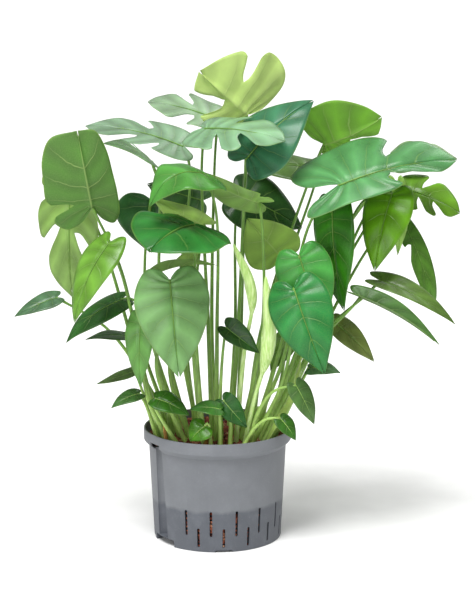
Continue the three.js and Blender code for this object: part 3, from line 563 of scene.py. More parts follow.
LEAVES = [
    # top of the plant
    leaf("crown", YELLOW, "#c3dd7e", (29, 29), ((40, 45, 170), (45, 50, 375)), (50, 70, 535),
         (-30, 50, 610), width=205, faces=(0, 1, 0.1), arch=-6, curl=-8, outline=BROAD, halves=(1, 0.55),
         slits=((-1, 0.66, 0.76, 0.38), (1, 0.66, 0.84, 0.16))),
    leaf("upper_heart", DEEP, "#3b7a57", (18, -2), ((35, 5, 180), (45, -10, 405)), (50, -25, 475),
         (160, 15, 565), width=122, faces=(-0.25, -0.75, 0.75), arch=14, curl=10),
    leaf("top_front", GREY, "#86b287", (-7, -10), ((-15, -10, 185), (-25, -15, 455)), (-20, -35, 525),
         (110, -90, 510), width=145, faces=(-0.1, -0.25, 1), arch=8, curl=8, outline=BROAD,
         slits=((1, 0.74, 0.82, 0.3), (1, 0.56, 0.62, 0.4), (-1, 0.62, 0.7, 0.35))),
    leaf("top_back", GREY, "#8fae89", (-4, 35), ((-10, 60, 170), (-5, 130, 450)), (0, 140, 520),
         (-120, 140, 550), width=130, faces=(-0.1, -0.28, 1), arch=6, outline=BROAD,
         slits=((-1, 0.62, 0.74, 0.3), (1, 0.66, 0.76, 0.35))),
    leaf("upper_left", GREY, "#82a482", (-26, 15), ((-65, 30, 190), (-45, 15, 450)), (-55, 5, 490),
         (-220, 40, 520), width=125, faces=(0, -0.22, 1), arch=10, outline=BROAD,
         slits=((-1, 0.72, 0.8, 0.3), (1, 0.66, 0.76, 0.3), (-1, 0.54, 0.6, 0.4))),
    leaf("left_shoulder", GREY, "#5f8a55", (-39, 0), ((-95, 10, 195), (-95, -35, 425)), (-105, -70, 475),
         (-180, -120, 510), width=80, faces=(0.1, -0.3, 1), arch=8, slits=((1, 0.6, 0.68, 0.4),)),
    leaf("arching", BRIGHT, "#4f963c", (-2, -31), ((0, -50, 190), (0, -95, 390)), (-15, -120, 460),
         (-105, -165, 415), width=115, faces=(-0.35, -0.5, 0.8), arch=30, curl=8),
    leaf("long", YELLOW, "#79a648", (31, -23), ((75, -40, 190), (75, -50, 360)), (70, -50, 405),
         (-45, -60, 465), width=80, faces=(0.1, 0.55, 0.8), arch=-6, curl=6,
         slits=((-1, 0.35, 0.44, 0.5),)),
    # middle of the plant
    leaf("glossy_heart", DEEP, "#2b7a30", (-18, -48), ((-35, -75, 195), (-35, -100, 345)),
         (-35, -120, 380), (-105, -205, 350), width=168, faces=(-0.2, -0.6, 0.8), arch=12, curl=6,
         outline=BROAD),
    leaf("pale_middle", YELLOW, "#86ab47", (-21, -26), ((-40, -40, 190), (-25, -50, 345)),
         (-20, -60, 370), (-105, -75, 415), width=75, faces=(0, 0.6, 0.8), curl=6),
    leaf("dark_back_left", DEEP, "#2b5c2f", (-51, 33), ((-120, 60, 185), (-125, 95, 285)),
         (-115, 110, 385), (-115, 95, 295), width=125, faces=(-0.1, -1, 0.3), curl=8),
    leaf("ribbed_back", GREY, "#37602f", (-31, 43), ((-55, 70, 165), (-35, 70, 340)), (-25, 70, 390),
         (-120, 90, 415), width=90, faces=(0, -0.75, 0.7), curl=5),
    leaf("shaded_back", DEEP, "#214a1d", (16, 49), ((30, 80, 165), (30, 100, 335)), (35, 105, 395),
         (145, 110, 335), width=110, faces=(-0.1, -0.75, 0.65), arch=8, curl=6),
    leaf("small_pale", YELLOW, "#86a84a", (-37, -16), ((-80, -20, 115), (-60, -30, 255)), (-60, -30, 295),
         (-25, -35, 325), width=38, faces=(0, 0.7, 0.7)),
    leaf("folded_olive", OLIVE, "#6a9040", (-51, -7), ((-100, -25, 135), (-105, -60, 245)),
         (-100, -70, 290), (0, -80, 305), width=46, faces=(0, 0.25, 1), arch=8, fold=25),
    leaf("underside_heart", OLIVE, "#8fb647", (37, 16), ((85, 25, 160), (100, 25, 255)), (105, 20, 305),
         (50, 0, 370), width=100, faces=(0, 0.9, 0.35), curl=5),
    leaf("dark_folded", DEEP, "#1d4a16", (4, -51), ((5, -65, 75), (10, -70, 160)), (15, -70, 200),
         (70, -90, 160), width=44, faces=(0.1, -0.8, 0.5), fold=20),
    # front hearts
    leaf("front_left_heart", GREY, "#78a865", (-41, -37), ((-100, -70, 130), (-80, -105, 235)),
         (-75, -130, 290), (-60, -155, 135), width=122, faces=(-0.05, -1, 0.3), arch=10, curl=8),
    leaf("front_right_heart", DEEP, "#2d813d", (45, -39), ((110, -70, 110), (125, -95, 220)),
         (125, -120, 275), (175, -150, 140), width=104, faces=(-0.2, -1, 0.25), arch=12, curl=10),
    leaf("behind_heart", DEEP, "#449740", (41, -16), ((110, -30, 135), (130, -50, 260)), (135, -70, 320),
         (175, -85, 200), width=95, faces=(-0.2, -0.9, 0.35), arch=8, curl=6),
    leaf("narrow_front_left", GREY, "#659b4b", (-62, -31), ((-115, -60, 75), (-125, -70, 170)),
         (-125, -80, 215), (-125, -95, 105), width=50, faces=(-0.3, -0.9, 0.2), arch=8),
    # left side
    leaf("big_left", BRIGHT, "#377015", (-78, -4), ((-115, -10, 60), (-160, -10, 285)), (-205, -40, 395),
         (-225, -70, 525), width=136, faces=(-0.1, 0.95, 0.3), arch=-8, curl=-8, outline=BLUNT,
         halves=(0.62, 1), slits=((1, 0.4, 0.49, 0.38),)),
    leaf("fingered_left", BRIGHT, "#7fa251", (-72, 18), ((-135, 30, 120), (-190, 45, 310)),
         (-245, 50, 445), (-245, 30, 230), width=115, faces=(-0.4, -0.85, 0.3), arch=12, outline=BROAD,
         slits=((1, 0.46, 0.54, 0.3), (1, 0.7, 0.78, 0.3), (-1, 0.5, 0.58, 0.3), (-1, 0.74, 0.82, 0.3))),
    leaf("bright_left", BRIGHT, "#6a9d35", (-70, -23), ((-115, -35, 85), (-155, -80, 290)),
         (-175, -95, 345), (-230, -130, 220), width=74, faces=(-0.55, -0.75, 0.35), arch=14, curl=5),
    leaf("low_left", DEEP, "#265a1e", (-59, 16), ((-120, 10, 125), (-140, -30, 240)), (-160, -40, 240),
         (-250, -55, 170), width=60, faces=(-0.4, -0.55, 0.8), arch=12, curl=5),
    leaf("far_left", DEEP, "#4d7350", (-66, 37), ((-115, 45, 65), (-185, 25, 175)), (-270, 5, 235),
         (-340, -10, 205), width=40, faces=(0.1, -0.55, 0.9), arch=4),
    leaf("edge_on", DEEP, "#3f6a38", (-72, -14), ((-115, -20, 65), (-130, -15, 150)), (-145, -10, 170),
         (-220, -30, 170), width=50, faces=(0, -0.15, 1), arch=6),
    leaf("thin_left", OLIVE, "#5c7a3e", (-82, 10), ((-120, 20, 45),), (-140, 20, 105), (-205, 5, 85),
         width=26, faces=(0, -0.5, 1)),
    leaf("rim_left", DEEP, "#3f6a30", (-81, -23), ((-120, -50, 65),), (-130, -60, 85), (-175, -80, 65),
         width=34, faces=(-0.1, -0.5, 0.9), arch=5),
    # right side
    leaf("big_right", GREY, "#58985b", (48, 2), ((110, 10, 160), (155, -30, 370)), (200, -60, 435),
         (395, -20, 470), width=185, faces=(-0.1, -0.55, 0.8), arch=14, curl=10, outline=LOBED,
         halves=(1, 0.5), slits=((-1, 0.7, 0.78, 0.4), (1, 0.66, 0.8, 0.3))),
    leaf("upper_right", YELLOW, "#6eb116", (41, 31), ((75, 55, 170), (160, 80, 435)), (180, 75, 485),
         (275, 40, 535), width=155, faces=(0.05, 0.9, 0.4), arch=-10, curl=6, outline=BROAD,
         halves=(0.5, 1), slits=((-1, 0.66, 0.84, 0.3),)),
    leaf("olive_back", OLIVE, "#4a6b2c", (48, 45), ((85, 95, 160), (165, 135, 400)), (175, 140, 435),
         (45, 130, 440), width=90, faces=(0, -0.4, 0.9), curl=8, arch=6),
    leaf("back_right", BRIGHT, "#7ea070", (58, 51), ((125, 90, 180), (270, 110, 405)), (310, 110, 455),
         (410, 110, 455), width=75, faces=(0, -0.6, 0.8), arch=10, slits=((-1, 0.58, 0.68, 0.35),)),
    leaf("hanging_right", BRIGHT, "#276e08", (58, -16), ((140, -20, 170), (180, -25, 340)),
         (190, -30, 395), (210, -60, 225), width=85, faces=(-0.65, -0.75, 0.15), arch=10, curl=5),
    leaf("long_right", BRIGHT, "#629c12", (66, 2), ((160, 0, 180), (245, 5, 400)), (290, -15, 415),
         (260, -50, 290), width=84, faces=(-0.35, -0.9, 0.2), arch=12, curl=6),
    leaf("bright_strip", BRIGHT, "#9ccb5c", (76, 10), ((170, 15, 180), (260, 25, 390)), (300, 15, 425),
         (300, -15, 310), width=38, faces=(0.3, -0.9, 0.2), arch=12),
    leaf("fingered_right", BRIGHT, "#63951f", (67, 29), ((160, 50, 170), (275, 70, 375)), (320, 65, 410),
         (410, 55, 370), width=80, faces=(0.05, -0.65, 0.75), arch=8, outline=BROAD,
         slits=((-1, 0.56, 0.66, 0.3), (1, 0.56, 0.64, 0.3), (1, 0.76, 0.84, 0.3))),
    leaf("dangling_right", OLIVE, "#55862a", (78, 25), ((180, 35, 175), (285, 45, 345)), (320, 35, 345),
         (365, 10, 215), width=38, faces=(0.3, -0.9, 0.3), arch=12, outline=BROAD,
         slits=((1, 0.5, 0.6, 0.35),)),
    leaf("tapering_right", OLIVE, "#56752f", (70, -18), ((170, -20, 170), (255, -20, 250)),
         (270, -25, 270), (395, -50, 200), width=44, faces=(-0.1, -0.5, 0.85), arch=14, fold=10),
    leaf("folded_right", OLIVE, "#4c7438", (59, -37), ((160, -55, 160), (225, -65, 235)), (235, -70, 250),
         (365, -95, 175), width=44, faces=(-0.1, -0.3, 1), arch=8, fold=35),
    leaf("lower_right", OLIVE, "#72823f", (76, -8), ((170, 0, 145),), (200, 10, 190), (265, 0, 125),
         width=42, faces=(-0.2, -0.7, 0.7), arch=8),
    # low leaves near the rim
    leaf("low_middle", DEEP, "#2d660f", (-49, -56), ((-105, -85, 75),), (-100, -95, 85), (-45, -110, 60),
         width=44, faces=(0, -0.6, 0.8), arch=6),
    leaf("centre_sprig", DEEP, "#3f7a2c", (5, -72), ((5, -100, 60),), (5, -105, 70), (-45, -110, 70),
         width=36, faces=(0, -0.5, 0.9), arch=5),
    leaf("rim_heart", BRIGHT, "#488517", (-7, -81), ((-15, -100, 45),), (-20, -100, 40), (-45, -105, 15),
         width=44, faces=(-0.15, -0.8, 0.6), arch=4),
    leaf("rim_middle", DEEP, "#1f5c1c", (18, -62), ((20, -80, 70),), (10, -85, 80), (50, -95, 35),
         width=40, faces=(-0.2, -0.9, 0.4), arch=6),
    leaf("rim_right", BRIGHT, "#35681e", (31, -67), ((65, -85, 35), (85, -90, 50)), (105, -90, 50),
         (130, -100, 15), width=32, faces=(0.3, -0.8, 0.6), arch=4),
    leaf("hanging_rim", OLIVE, "#4f763a", (47, -56), ((65, -80, 50), (95, -100, 100)), (130, -105, 110),
         (160, -110, 45), width=38, faces=(0.2, -0.85, 0.4), arch=6),
    leaf("small_right", OLIVE, "#4f7c4a", (72, -31), ((130, -45, 85),), (155, -45, 125), (205, -60, 120),
         width=38, faces=(0, -0.5, 0.9), arch=5),
    leaf("olive_right", OLIVE, "#577c28", (58, 25), ((100, 30, 50),), (120, 40, 160), (90, 15, 105),
         width=42, faces=(0, -0.9, 0.4)),
]


def flat_point(outline, run, out):
    """A point of the flat half blade: run goes along the margin, and out from the midrib to it."""
    margin = curve_point(outline, clamp(run))
    start = 0.93 * max(run, 0) ** 3
    bend = Vector((0.55 * margin.x, start + 0.25 * (margin.y - start)))
    stay = 1 - out
    across = 2 * stay * out * bend.x + out * out * margin.x
    along = stay * stay * start + 2 * stay * out * bend.y + out * out * margin.y
    return across, along


def blade_sheet(leaf):
    """place(side, across, along, lift): the blade's curved sheet in space."""
    chord = leaf.tip - leaf.joint
    ahead = chord.normalized()
    side_way = ahead.cross(leaf.faces).normalized()
    face = side_way.cross(ahead)
    fold = math.radians(leaf.fold)

    def place(side, across, along, lift=0.0):
        bow = 4 * leaf.arch * along * (1 - along)
        slope = 4 * leaf.arch * (1 - 2 * along) / chord.length
        normal = (face - ahead * slope).normalized()
        reach = across * leaf.width * leaf.halves[0 if side < 0 else 1]
        rise = reach * math.tan(fold) - leaf.curl * reach ** 2 / (leaf.width / 2) ** 2
        spot = leaf.joint + chord * along + face * bow + side_way * side * reach * math.cos(fold)
        return spot + normal * (rise + lift)

    return place


def slit_shift(slits, side, run, out, way):
    """How far a point of the flat blade moves along the margin, and in from it, beside the slits."""
    shift, draw_in = 0.0, 0.0
    for slit_side, first, last, depth in slits:
        if slit_side != side or out <= depth:
            continue
        middle = (first + last) / 2
        opening = (out - depth) / (1 - depth)
        apart = run - middle
        near = clamp(1 - abs(apart) / SLIT_REACH)
        sign = way or (1 if apart > 0 else -1)
        round_end = math.sqrt(clamp(opening * 3.5))
        shift += sign * (last - first) / 2 * lerp(round_end, opening, 0.3) * near
        draw_in = max(draw_in, 0.12 * opening ** 3 * near ** 3)
    return shift, draw_in


SLIT_REACH = 0.11
CELL = 3.6
VEIN_SPACING = 22
QUILT_SHARE = 0.012
RIPPLES = (2.2, 3.6)
WAVE_SHARE = (0.012, 0.022)
UNDER_GREEN = "#a8c566"


def blade_piece(leaf, dice):
    """The blade: a grid bent into the leaf's sheet, split where the slits are, with sunken veins,
    quilting between them and a wavy margin."""
    place = blade_sheet(leaf)
    length = (leaf.tip - leaf.joint).length
    columns = 2 * max(6, min(14, round(leaf.width / 2 / (1.6 * CELL))))
    rows = max(20, min(64, round(1.2 * length / CELL)))
    veins = max(4, min(8, round(length / VEIN_SPACING)))
    ripples = dice.uniform(*RIPPLES)
    phases = dice.uniform(0, FULL_TURN), dice.uniform(0, FULL_TURN)
    wave = leaf.width * dice.uniform(*WAVE_SHARE)
    quilt = leaf.width * QUILT_SHARE
    bm = bmesh.new()
    bmesh.ops.create_grid(bm, x_segments=columns, y_segments=rows, size=1)

    def run_of(vert):
        return (vert.co.y + 1) / 2

    lines = {}
    for slit in leaf.slits:
        side, first, last, depth = slit
        line = round((first + last) / 2 * rows) / rows
        lines[slit] = (side, line - (last - first) / 2, line + (last - first) / 2, depth)
        torn = [
            edge
            for edge in bm.edges
            if all(
                abs(run_of(vert) - line) < 1e-4 and side * vert.co.x > depth - 0.5 / columns
                for vert in edge.verts
            )
        ]
        bmesh.ops.split_edges(bm, edges=torn)
    slits = list(lines.values())
    pattern = bm.loops.layers.uv.new("veins")
    green = bm.verts.layers.float_color.new("leaf_green")
    own_colour = linear(leaf.colour)
    for face in bm.faces:
        for loop in face.loops:
            loop[pattern].uv = (loop.vert.co.x, run_of(loop.vert) * veins)
    spots = {}
    for vert in bm.verts:
        side = 1 if vert.co.x > 0 else -1
        out = abs(vert.co.x) ** 1.15
        run = run_of(vert)
        middle = sum(face.calc_center_median().y for face in vert.link_faces) / len(vert.link_faces)
        way = 0
        if middle > vert.co.y + 0.2 / rows:
            way = 1
        if middle < vert.co.y - 0.2 / rows:
            way = -1
        shift, draw_in = slit_shift(slits, side, run, out, way)
        across, along = flat_point(leaf.outline, run + shift, out * (1 - draw_in))
        vein = abs((run * veins) % 1 - 0.5) * 2
        lift = quilt * (1 - smooth(vein)) * math.sin(math.pi * out ** 0.8) ** 0.5
        lift -= 2.2 * quilt * math.exp(-((out / 0.06) ** 2))
        edge = out ** 3 * math.sin(math.pi * clamp(0.08 + 0.9 * run))
        lift += wave * edge * math.sin(2 * math.pi * ripples * run + phases[0 if side < 0 else 1])
        spots[vert] = place(side, across, along, lift)
    for vert, spot in spots.items():
        vert.co = spot
        vert[green] = own_colour
    piece = new_object(leaf.name + "_blade", bm, (BLADE_TOP, BLADE_UNDER))
    thicken(piece, "blade thickness", BLADE_THICKNESS)
    return finish_piece(piece, leaf.name, leaf.kind)


def stalk_piece(leaf):
    """The stalk, sheathed and grooved at its foot, with the knee under the blade and the midrib."""
    bm = bmesh.new()
    length = sum((q - p).length for p, q in zip(leaf.path, leaf.path[1:]))

    def radius(share, angle):
        bare = lerp(STALK_TOP_RADIUS, STALK_FOOT_RADIUS, (1 - share) ** 1.5)
        sheath = 0.28 * smooth((0.3 - share) / 0.3) * math.cos(angle) ** 2
        knee = 0.28 * math.exp(-(((share - 0.965) / 0.022) ** 2))
        return bare * (1 + sheath + knee)

    add_rod(bm, leaf.path, radius, max(10, round(length / 14)), groove=0.22)
    place = blade_sheet(leaf)
    rib_width = 0.011 * leaf.width ** 0.9 + 0.35
    rib = [place(1, 0, along, -0.5 * rib_width) for along in (-0.012, 0.1, 0.3, 0.5, 0.7, 0.86)]
    add_rod(bm, rib, lambda share, angle: rib_width * (1 - 0.8 * share), 18, around=6)
    return finish_piece(new_object(leaf.name + "_stalk", bm, (STALK_SKIN,)), leaf.name, leaf.kind)


# Young leaves, shoots and sheath ---------

ROLLED_LEAVES = (
    dict(name="spear_leaf", foot=(36, -51), places=((62, -80, 80), (85, -92, 175), (80, -98, 290)),
         swell=10.5, starts=0.46),
    dict(name="rolled_leaf", foot=(25, -40), places=((45, -60, 155), (58, -75, 255), (28, -78, 340)),
         swell=7.5, starts=0.66),
)
SHOOTS = (
    dict(name="left_shoot", foot=(-64, 3), top=(-82, 4, 45), width=7),
    dict(name="middle_shoot", foot=(2, -21), top=(4, -28, 55), width=8),
    dict(name="right_shoot", foot=(53, -8), top=(70, -12, 50), width=7),
)
STUBS = (
    dict(name="left_stub", foot=(-69, -47), top=(-88, -60, 30), width=4),
    dict(name="front_stub", foot=(-23, -66), top=(-10, -84, 25), width=3.5),
    dict(name="middle_stub", foot=(14, -53), top=(24, -60, 30), width=3.5),
)
SHEATH = dict(foot=(61, -52), places=((96, -64, 40), (118, -68, 80), (140, -74, 155)), width=28, depth=8)


def rolled_leaf_piece(name, foot, places, swell, starts):
    """A leaf rolled round itself: the free edge winds up the spindle as a low step."""
    bm = bmesh.new()

    def radius(share, angle):
        if share < starts:
            return lerp(STALK_FOOT_RADIUS, STALK_TOP_RADIUS + 1, share / starts)
        along = (share - starts) / (1 - starts)
        spindle = 1.2 + swell * math.sin(math.pi * along ** 0.7) ** 0.7
        winding = (angle / (2 * math.pi) + 1.1 * along + 0.3) % 1
        return max(spindle * (0.9 + 0.22 * winding * smooth(along * 6)), 1.2)

    add_rod(bm, path_from(foot, places), radius, 64, around=32)
    piece = new_object(name + "_roll", bm, (YOUNG_TISSUE,))
    return finish_piece(piece, name, "young_leaf")


def shoot_piece(name, foot, top, width, skin, slot):
    """A short upright shoot with the scars of old leaves, or a dried stump."""
    bm = bmesh.new()

    def radius(share, angle):
        scars = 0.06 * math.cos(2 * math.pi * share * 4) + 0.04 * math.cos(3 * angle + 9 * share)
        return width * (1 - 0.35 * share) * (1 + scars) * (0.75 if share > 0.99 else 1)

    add_rod(bm, path_from(foot, [top]), radius, 24, around=20)
    return finish_piece(new_object(name + "_stem", bm, (skin,)), name, slot, sharp=50)


def sheath_piece(foot, places, width, depth):
    """The opened sheath: a long trough, wide in the middle, hollow side up."""
    bm = bmesh.new()
    columns, rows = 14, 44
    bmesh.ops.create_grid(bm, x_segments=columns, y_segments=rows, size=1)
    frames = route(path_from(foot, places), rows)
    pattern = bm.loops.layers.uv.new("veins")
    green = bm.verts.layers.float_color.new("leaf_green")
    for face in bm.faces:
        for loop in face.loops:
            loop[pattern].uv = (loop.vert.co.x, loop.vert.co.y * 1.5)
    for vert in bm.verts:
        across = vert.co.x
        step = round((vert.co.y + 1) / 2 * rows)
        share = step / rows
        here, there = frames[max(step - 1, 0)][0], frames[min(step + 1, rows)][0]
        up = (there - here).normalized().cross(Vector((0, 1, 0))).normalized()
        half = width / 2 * (0.35 + 0.65 * math.sin(math.pi * (0.12 + 0.8 * share)))
        hollow = depth * across * across * math.sin(math.pi * share)
        vert.co = frames[step][0] - Vector((0, across * half, 0)) - up * hollow
        vert[green] = linear(UNDER_GREEN)
    bmesh.ops.recalc_face_normals(bm, faces=bm.faces)
    piece = new_object("opened_sheath_trough", bm, (BLADE_UNDER, BLADE_TOP))
    thicken(piece, "sheath thickness", SHEATH_THICKNESS)
    return finish_piece(piece, "opened_sheath", "young_leaf")


# Pot ------------


def wall_radius(height):
    """The outside radius of the pot's tapering wall."""
    return lerp(FOOT_RADIUS, BODY_TOP_RADIUS, height / BODY_TOP)


def round_the_pot(verts, bm, angle):
    """Turns new verts about the pot's axis to an angle in degrees."""
    bmesh.ops.rotate(bm, verts=verts, cent=(0, 0, 0), matrix=Matrix.Rotation(math.radians(angle), 3, "Z"))


def add_slot(bm, angle, low, high):
    """The cutter of one slot: a block with rounded ends, through the wall."""
    verts = bmesh.ops.create_cube(bm, size=1)["verts"]
    bmesh.ops.scale(bm, vec=(6 * WALL, SLOT_WIDTH, high - low), verts=verts)
    ends = [e for v in verts for e in v.link_edges if abs(e.verts[0].co.x - e.verts[1].co.x) > WALL]
    rounded = bmesh.ops.bevel(
        bm, geom=list(set(ends)), offset=0.42 * SLOT_WIDTH, offset_type="OFFSET", affect="EDGES",
        segments=3, profile=0.5, material=-1,
    )
    shape = list({v for f in rounded["faces"] for v in f.verts} | {v for v in verts if v.is_valid})
    bmesh.ops.translate(bm, vec=(wall_radius(low) - WALL / 2, 0, (low + high) / 2), verts=shape)
    round_the_pot(shape, bm, angle)


def slot_places():
    """(angle, low, high) of every slot: two staggered rows that leave out the channel."""
    pitch = 360 / SLOTS_ROUND
    kept_off = math.degrees((CHANNEL_LOW_RADIUS + WALL + SLOT_TO_CHANNEL) / FOOT_RADIUS)
    for i in range(2 * SLOTS_ROUND):
        angle = SLOT_START - 90 + i * pitch / 2
        if abs((angle - CHANNEL_ANGLE + 540) % 360 - 180) > kept_off:
            yield angle, *(UPPER_SLOT if i % 2 else LOWER_SLOT)


def channel_rod(grow):
    """The gauge channel as a rod that leans with the wall, or, grown, the wall round the channel."""
    bm = bmesh.new()
    low, top = CHANNEL_LOW - grow, RIM_LOW + grow
    middle = (low + top) / 2
    made = bmesh.ops.create_cone(
        bm, cap_ends=True, segments=CHANNEL_STEPS, radius1=CHANNEL_LOW_RADIUS + grow,
        radius2=CHANNEL_TOP_RADIUS + grow, depth=top - low,
    )["verts"]
    lean = Matrix.Rotation(math.atan2(BODY_TOP_RADIUS - FOOT_RADIUS, BODY_TOP), 3, "Y")
    bmesh.ops.rotate(bm, verts=made, cent=(0, 0, 0), matrix=lean)
    bmesh.ops.translate(bm, vec=(wall_radius(middle), 0, middle), verts=made)
    round_the_pot(made, bm, CHANNEL_ANGLE)
    return new_object("channel rod", bm)


def add_block(bm, angle, size, middle):
    """A block of a size (outward, across, up) about a middle (outward, up), at an angle round the pot."""
    verts = bmesh.ops.create_cube(bm, size=1)["verts"]
    bmesh.ops.scale(bm, vec=size, verts=verts)
    bmesh.ops.translate(bm, vec=(middle[0], 0, middle[1]), verts=verts)
    round_the_pot(verts, bm, angle)


def foot_cut(grow):
    """The cut under the foot at the channel, or, grown, the wall over it."""
    bm = bmesh.new()
    reach = FOOT_CUT_REACH + grow
    size = (reach, FOOT_CUT_WIDTH + 2 * grow, 2 * (FOOT_CUT_RISE + grow))
    add_block(bm, CHANNEL_ANGLE, size, (FOOT_RADIUS + CUT_PAST - reach / 2, 0))
    return new_object("foot cut", bm)


def channel_liner():
    """The walls round the channel and over the foot cut, kept inside the pot's own wall."""
    inside = bmesh.new()
    half = WALL / 2
    add_turned(
        inside,
        [
            (0, 0), (FOOT_RADIUS - 1, 0), (FOOT_RADIUS - half, 1), (BODY_TOP_RADIUS - half, BODY_TOP),
            (BODY_TOP_RADIUS, RIM_LOW - WALL), (0, RIM_LOW - WALL),
        ],
        POT_STEPS,
    )
    liner = channel_rod(WALL)
    cut(liner, foot_cut(WALL), "UNION")
    cut(liner, new_object("pot inside", inside), "INTERSECT")
    return liner


def pot_piece():
    """The pot: turned wall, floor and rim, the channel let into the wall, then slots and notches."""
    bm = bmesh.new()
    rim_inner = RIM_RADIUS - RIM_LIP
    profile = [
        (0, 0), (FOOT_RADIUS - 1.2, 0), (FOOT_RADIUS - 0.3, 0.4), (FOOT_RADIUS, 1.3),
        (BODY_TOP_RADIUS, BODY_TOP), (BODY_TOP_RADIUS + 0.6, BODY_TOP + 0.5),
        (RIM_RADIUS - 0.9, RIM_LOW - 0.4), (RIM_RADIUS, RIM_LOW + 0.8), (RIM_RADIUS, POT_HEIGHT - 1.2),
        (RIM_RADIUS - 0.4, POT_HEIGHT - 0.3), (RIM_RADIUS - 1.2, POT_HEIGHT),
        (rim_inner + 0.6, POT_HEIGHT), (rim_inner, POT_HEIGHT - 0.6), (rim_inner, RIM_LOW),
        (BODY_TOP_RADIUS - WALL, BODY_TOP), (wall_radius(FLOOR) - WALL, FLOOR), (0, FLOOR),
    ]
    add_turned(bm, profile, POT_STEPS)
    pot = new_object("culture_pot_moulding", bm, (POT_PLASTIC,))
    cut(pot, channel_liner(), "UNION")
    cut(pot, channel_rod(0))
    cut(pot, foot_cut(0))
    openings = bmesh.new()
    for angle, low, high in slot_places():
        add_slot(openings, angle, low, high)
    for i in range(NOTCHES):
        angle = SLOT_START - 90 + i * 360 / NOTCHES
        size = (NOTCH_REACH, NOTCH_WIDTH, 2 * NOTCH_RISE)
        add_block(openings, angle, size, (FOOT_RADIUS + CUT_PAST - NOTCH_REACH / 2, 0))
    height = RIM_CHAMFER + RIM_CUT_RISE
    size = (2 * RIM_CUT_DEEP, RIM_CUT_WIDTH, height)
    add_block(openings, CHANNEL_ANGLE, size, (BODY_TOP_RADIUS + RIM_CUT_DEEP, BODY_TOP + height / 2 - 1))
    cut(pot, new_object("openings", openings))
    finish_piece(pot, "culture_pot", "pot_plastic", sharp=32)
    edges = pot.modifiers.new("softened edges", "BEVEL")
    edges.width = EDGE_SOFTENING * MM
    edges.segments = 2
    edges.limit_method = "ANGLE"
    edges.angle_limit = math.radians(40)
    return pot


# Granulate ------------

# Half widths: the least, the most and the commonest of a grain; the most at the rim and in a slot
GRAIN = (3.0, 6.2, 4.3)
RIM_GRAIN = 3.6
SLOT_GRAIN = 3.8
TOP_GRAINS = 1250
LAYER = 5
EDGE_DIP = 3
# The turn from one grain to the next that spreads them evenly, as in a sunflower's head
SUNFLOWER = math.pi * (3 - math.sqrt(5))


def add_grain(bm, dice, distance, angle, height, size, tone_layer):
    """One clay grain: a rounded lump, stretched, dented and turned by chance."""
    spot = Vector((distance * math.cos(angle), distance * math.sin(angle), height))
    verts = bmesh.ops.create_icosphere(bm, subdivisions=1, radius=1)["verts"]
    stretch = Vector((dice.uniform(0.75, 1.2), dice.uniform(0.75, 1.2), dice.uniform(0.6, 0.95)))
    roll = dice.uniform(0, FULL_TURN)
    turn = Matrix.Rotation(roll, 3, Vector((dice.random(), dice.random(), 0.3)).normalized())
    tone = clamp(dice.gauss(0.55, 0.2))
    for vert in verts:
        dent = 1 + dice.uniform(-0.16, 0.16)
        vert.co = spot + turn @ (vert.co * stretch * size * dent)
        vert[tone_layer] = tone


def granulate_piece(dice):
    """The granulate: a loose layer of grains on top, and grains behind each slot."""
    bm = bmesh.new()
    tone = bm.verts.layers.float.new("tone")
    reach = BED_RADIUS - 4
    for i in range(TOP_GRAINS):
        size = dice.triangular(*GRAIN)
        distance = reach * math.sqrt((i + 0.5) / TOP_GRAINS)
        angle = i * SUNFLOWER + dice.uniform(-0.03, 0.03)
        height = BED_TOP - 2.5 - dice.uniform(0, LAYER) - EDGE_DIP * (distance / reach) ** 4
        if distance > BODY_TOP_RADIUS - WALL - 7:
            size = min(size, RIM_GRAIN)
            height = RIM_LOW + RIM_GRAIN + dice.uniform(-0.5, 1.5)
        add_grain(bm, dice, distance, angle, height, size, tone)
    for angle, low, high in slot_places():
        angle = math.radians(angle)
        height = low + 1
        while height < high:
            size = SLOT_GRAIN * dice.uniform(0.7, 1.0)
            distance = wall_radius(height) - WALL - size - dice.uniform(0, 0.8)
            add_grain(bm, dice, distance, angle, height, size, tone)
            height += dice.uniform(5, 9)
    piece = new_object("granulate_grains", bm, (FIRED_CLAY,))
    return finish_piece(piece, "granulate_bed", "clay_granulate", sharp=45)


# Plant ------------

dice = random.Random(12)
pot_piece()
granulate_piece(dice)
for one in LEAVES:
    blade_piece(one, dice)
    stalk_piece(one)
for one in ROLLED_LEAVES:
    rolled_leaf_piece(**one)
for one in SHOOTS:
    shoot_piece(**one, skin=SHOOT_SKIN, slot="stalk_green")
for one in STUBS:
    shoot_piece(**one, skin=DRY_FIBRE, slot="dry_stalk")
sheath_piece(**SHEATH)

# Studio ------------

FLOOR_REACH = 150000
SKY_STRENGTH = 0.38
SUN_STRENGTH = 3.5
SUN_SPREAD = 30
BOX_POWER = 16
PLANT_MIDDLE = (0, 0, 0.45)
LENS = 124
SENSOR = 36
CAMERA_SPOT = (0.034, -3.4, 1.09)
CAMERA_DOWN = 11.35


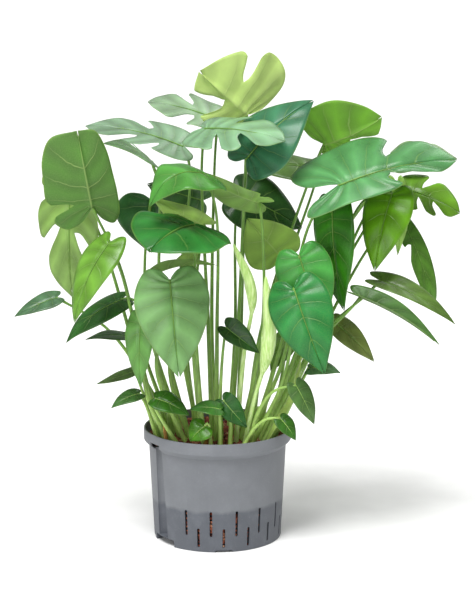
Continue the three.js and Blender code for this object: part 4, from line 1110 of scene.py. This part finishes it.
def floor_plane():
    """A pale floor that runs on past the view."""
    bm = bmesh.new()
    bmesh.ops.create_grid(bm, x_segments=1, y_segments=1, size=FLOOR_REACH)
    floor = new_object("studio_floor", bm, (floor_material(),))
    floor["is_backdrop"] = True


def shine(name, lamp, spot, target=(0, 0, 0)):
    """Stands a lamp at a spot and turns it towards a target."""
    made = bpy.data.objects.new(name, lamp)
    made.location = spot
    made.rotation_euler = (Vector(target) - Vector(spot)).to_track_quat("-Z", "Y").to_euler()
    bpy.context.collection.objects.link(made)


def soft_box(name, spot, size):
    """A square soft box that looks at the plant."""
    lamp = bpy.data.lights.new(name, "AREA")
    lamp.shape = "SQUARE"
    lamp.size = size
    lamp.energy = BOX_POWER
    shine(name, lamp, spot, target=PLANT_MIDDLE)


def soft_sun(spot):
    """A wide soft sun that lights the floor evenly."""
    lamp = bpy.data.lights.new("soft_sun", "SUN")
    lamp.energy = SUN_STRENGTH
    lamp.angle = math.radians(SUN_SPREAD)
    shine("soft_sun", lamp, spot)


def studio():
    """Pale paper floor, an even white surround, a wide soft sun, and a soft box in front and behind."""
    floor_plane()
    world = bpy.data.worlds.new("pale studio")
    world.use_nodes = True
    sky = world.node_tree.nodes["Background"]
    sky.inputs["Color"].default_value = (1, 1, 1, 1)
    sky.inputs["Strength"].default_value = SKY_STRENGTH
    bpy.context.scene.world = world
    soft_sun((-0.4, -0.95, 2.2))
    soft_box("key_box", (-1.2, -2.6, 1.2), 1.0)
    soft_box("back_box", (1.2, 1.6, 2.2), 1.2)
    bpy.context.scene.view_settings.view_transform = "Standard"


def camera():
    """A long lens a little above the plant, looking slightly down."""
    lens = bpy.data.cameras.new("view")
    lens.lens = LENS
    lens.sensor_width = SENSOR
    lens.clip_end = 400
    made = bpy.data.objects.new("view", lens)
    made.location = CAMERA_SPOT
    made.rotation_euler = (math.radians(90 - CAMERA_DOWN), 0, 0)
    bpy.context.collection.objects.link(made)
    bpy.context.scene.camera = made


studio()
camera()

boxes = {"cad": cad_box, "visual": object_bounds()}
{name: [list(map(float, corner)) for corner in box] for name, box in boxes.items()}
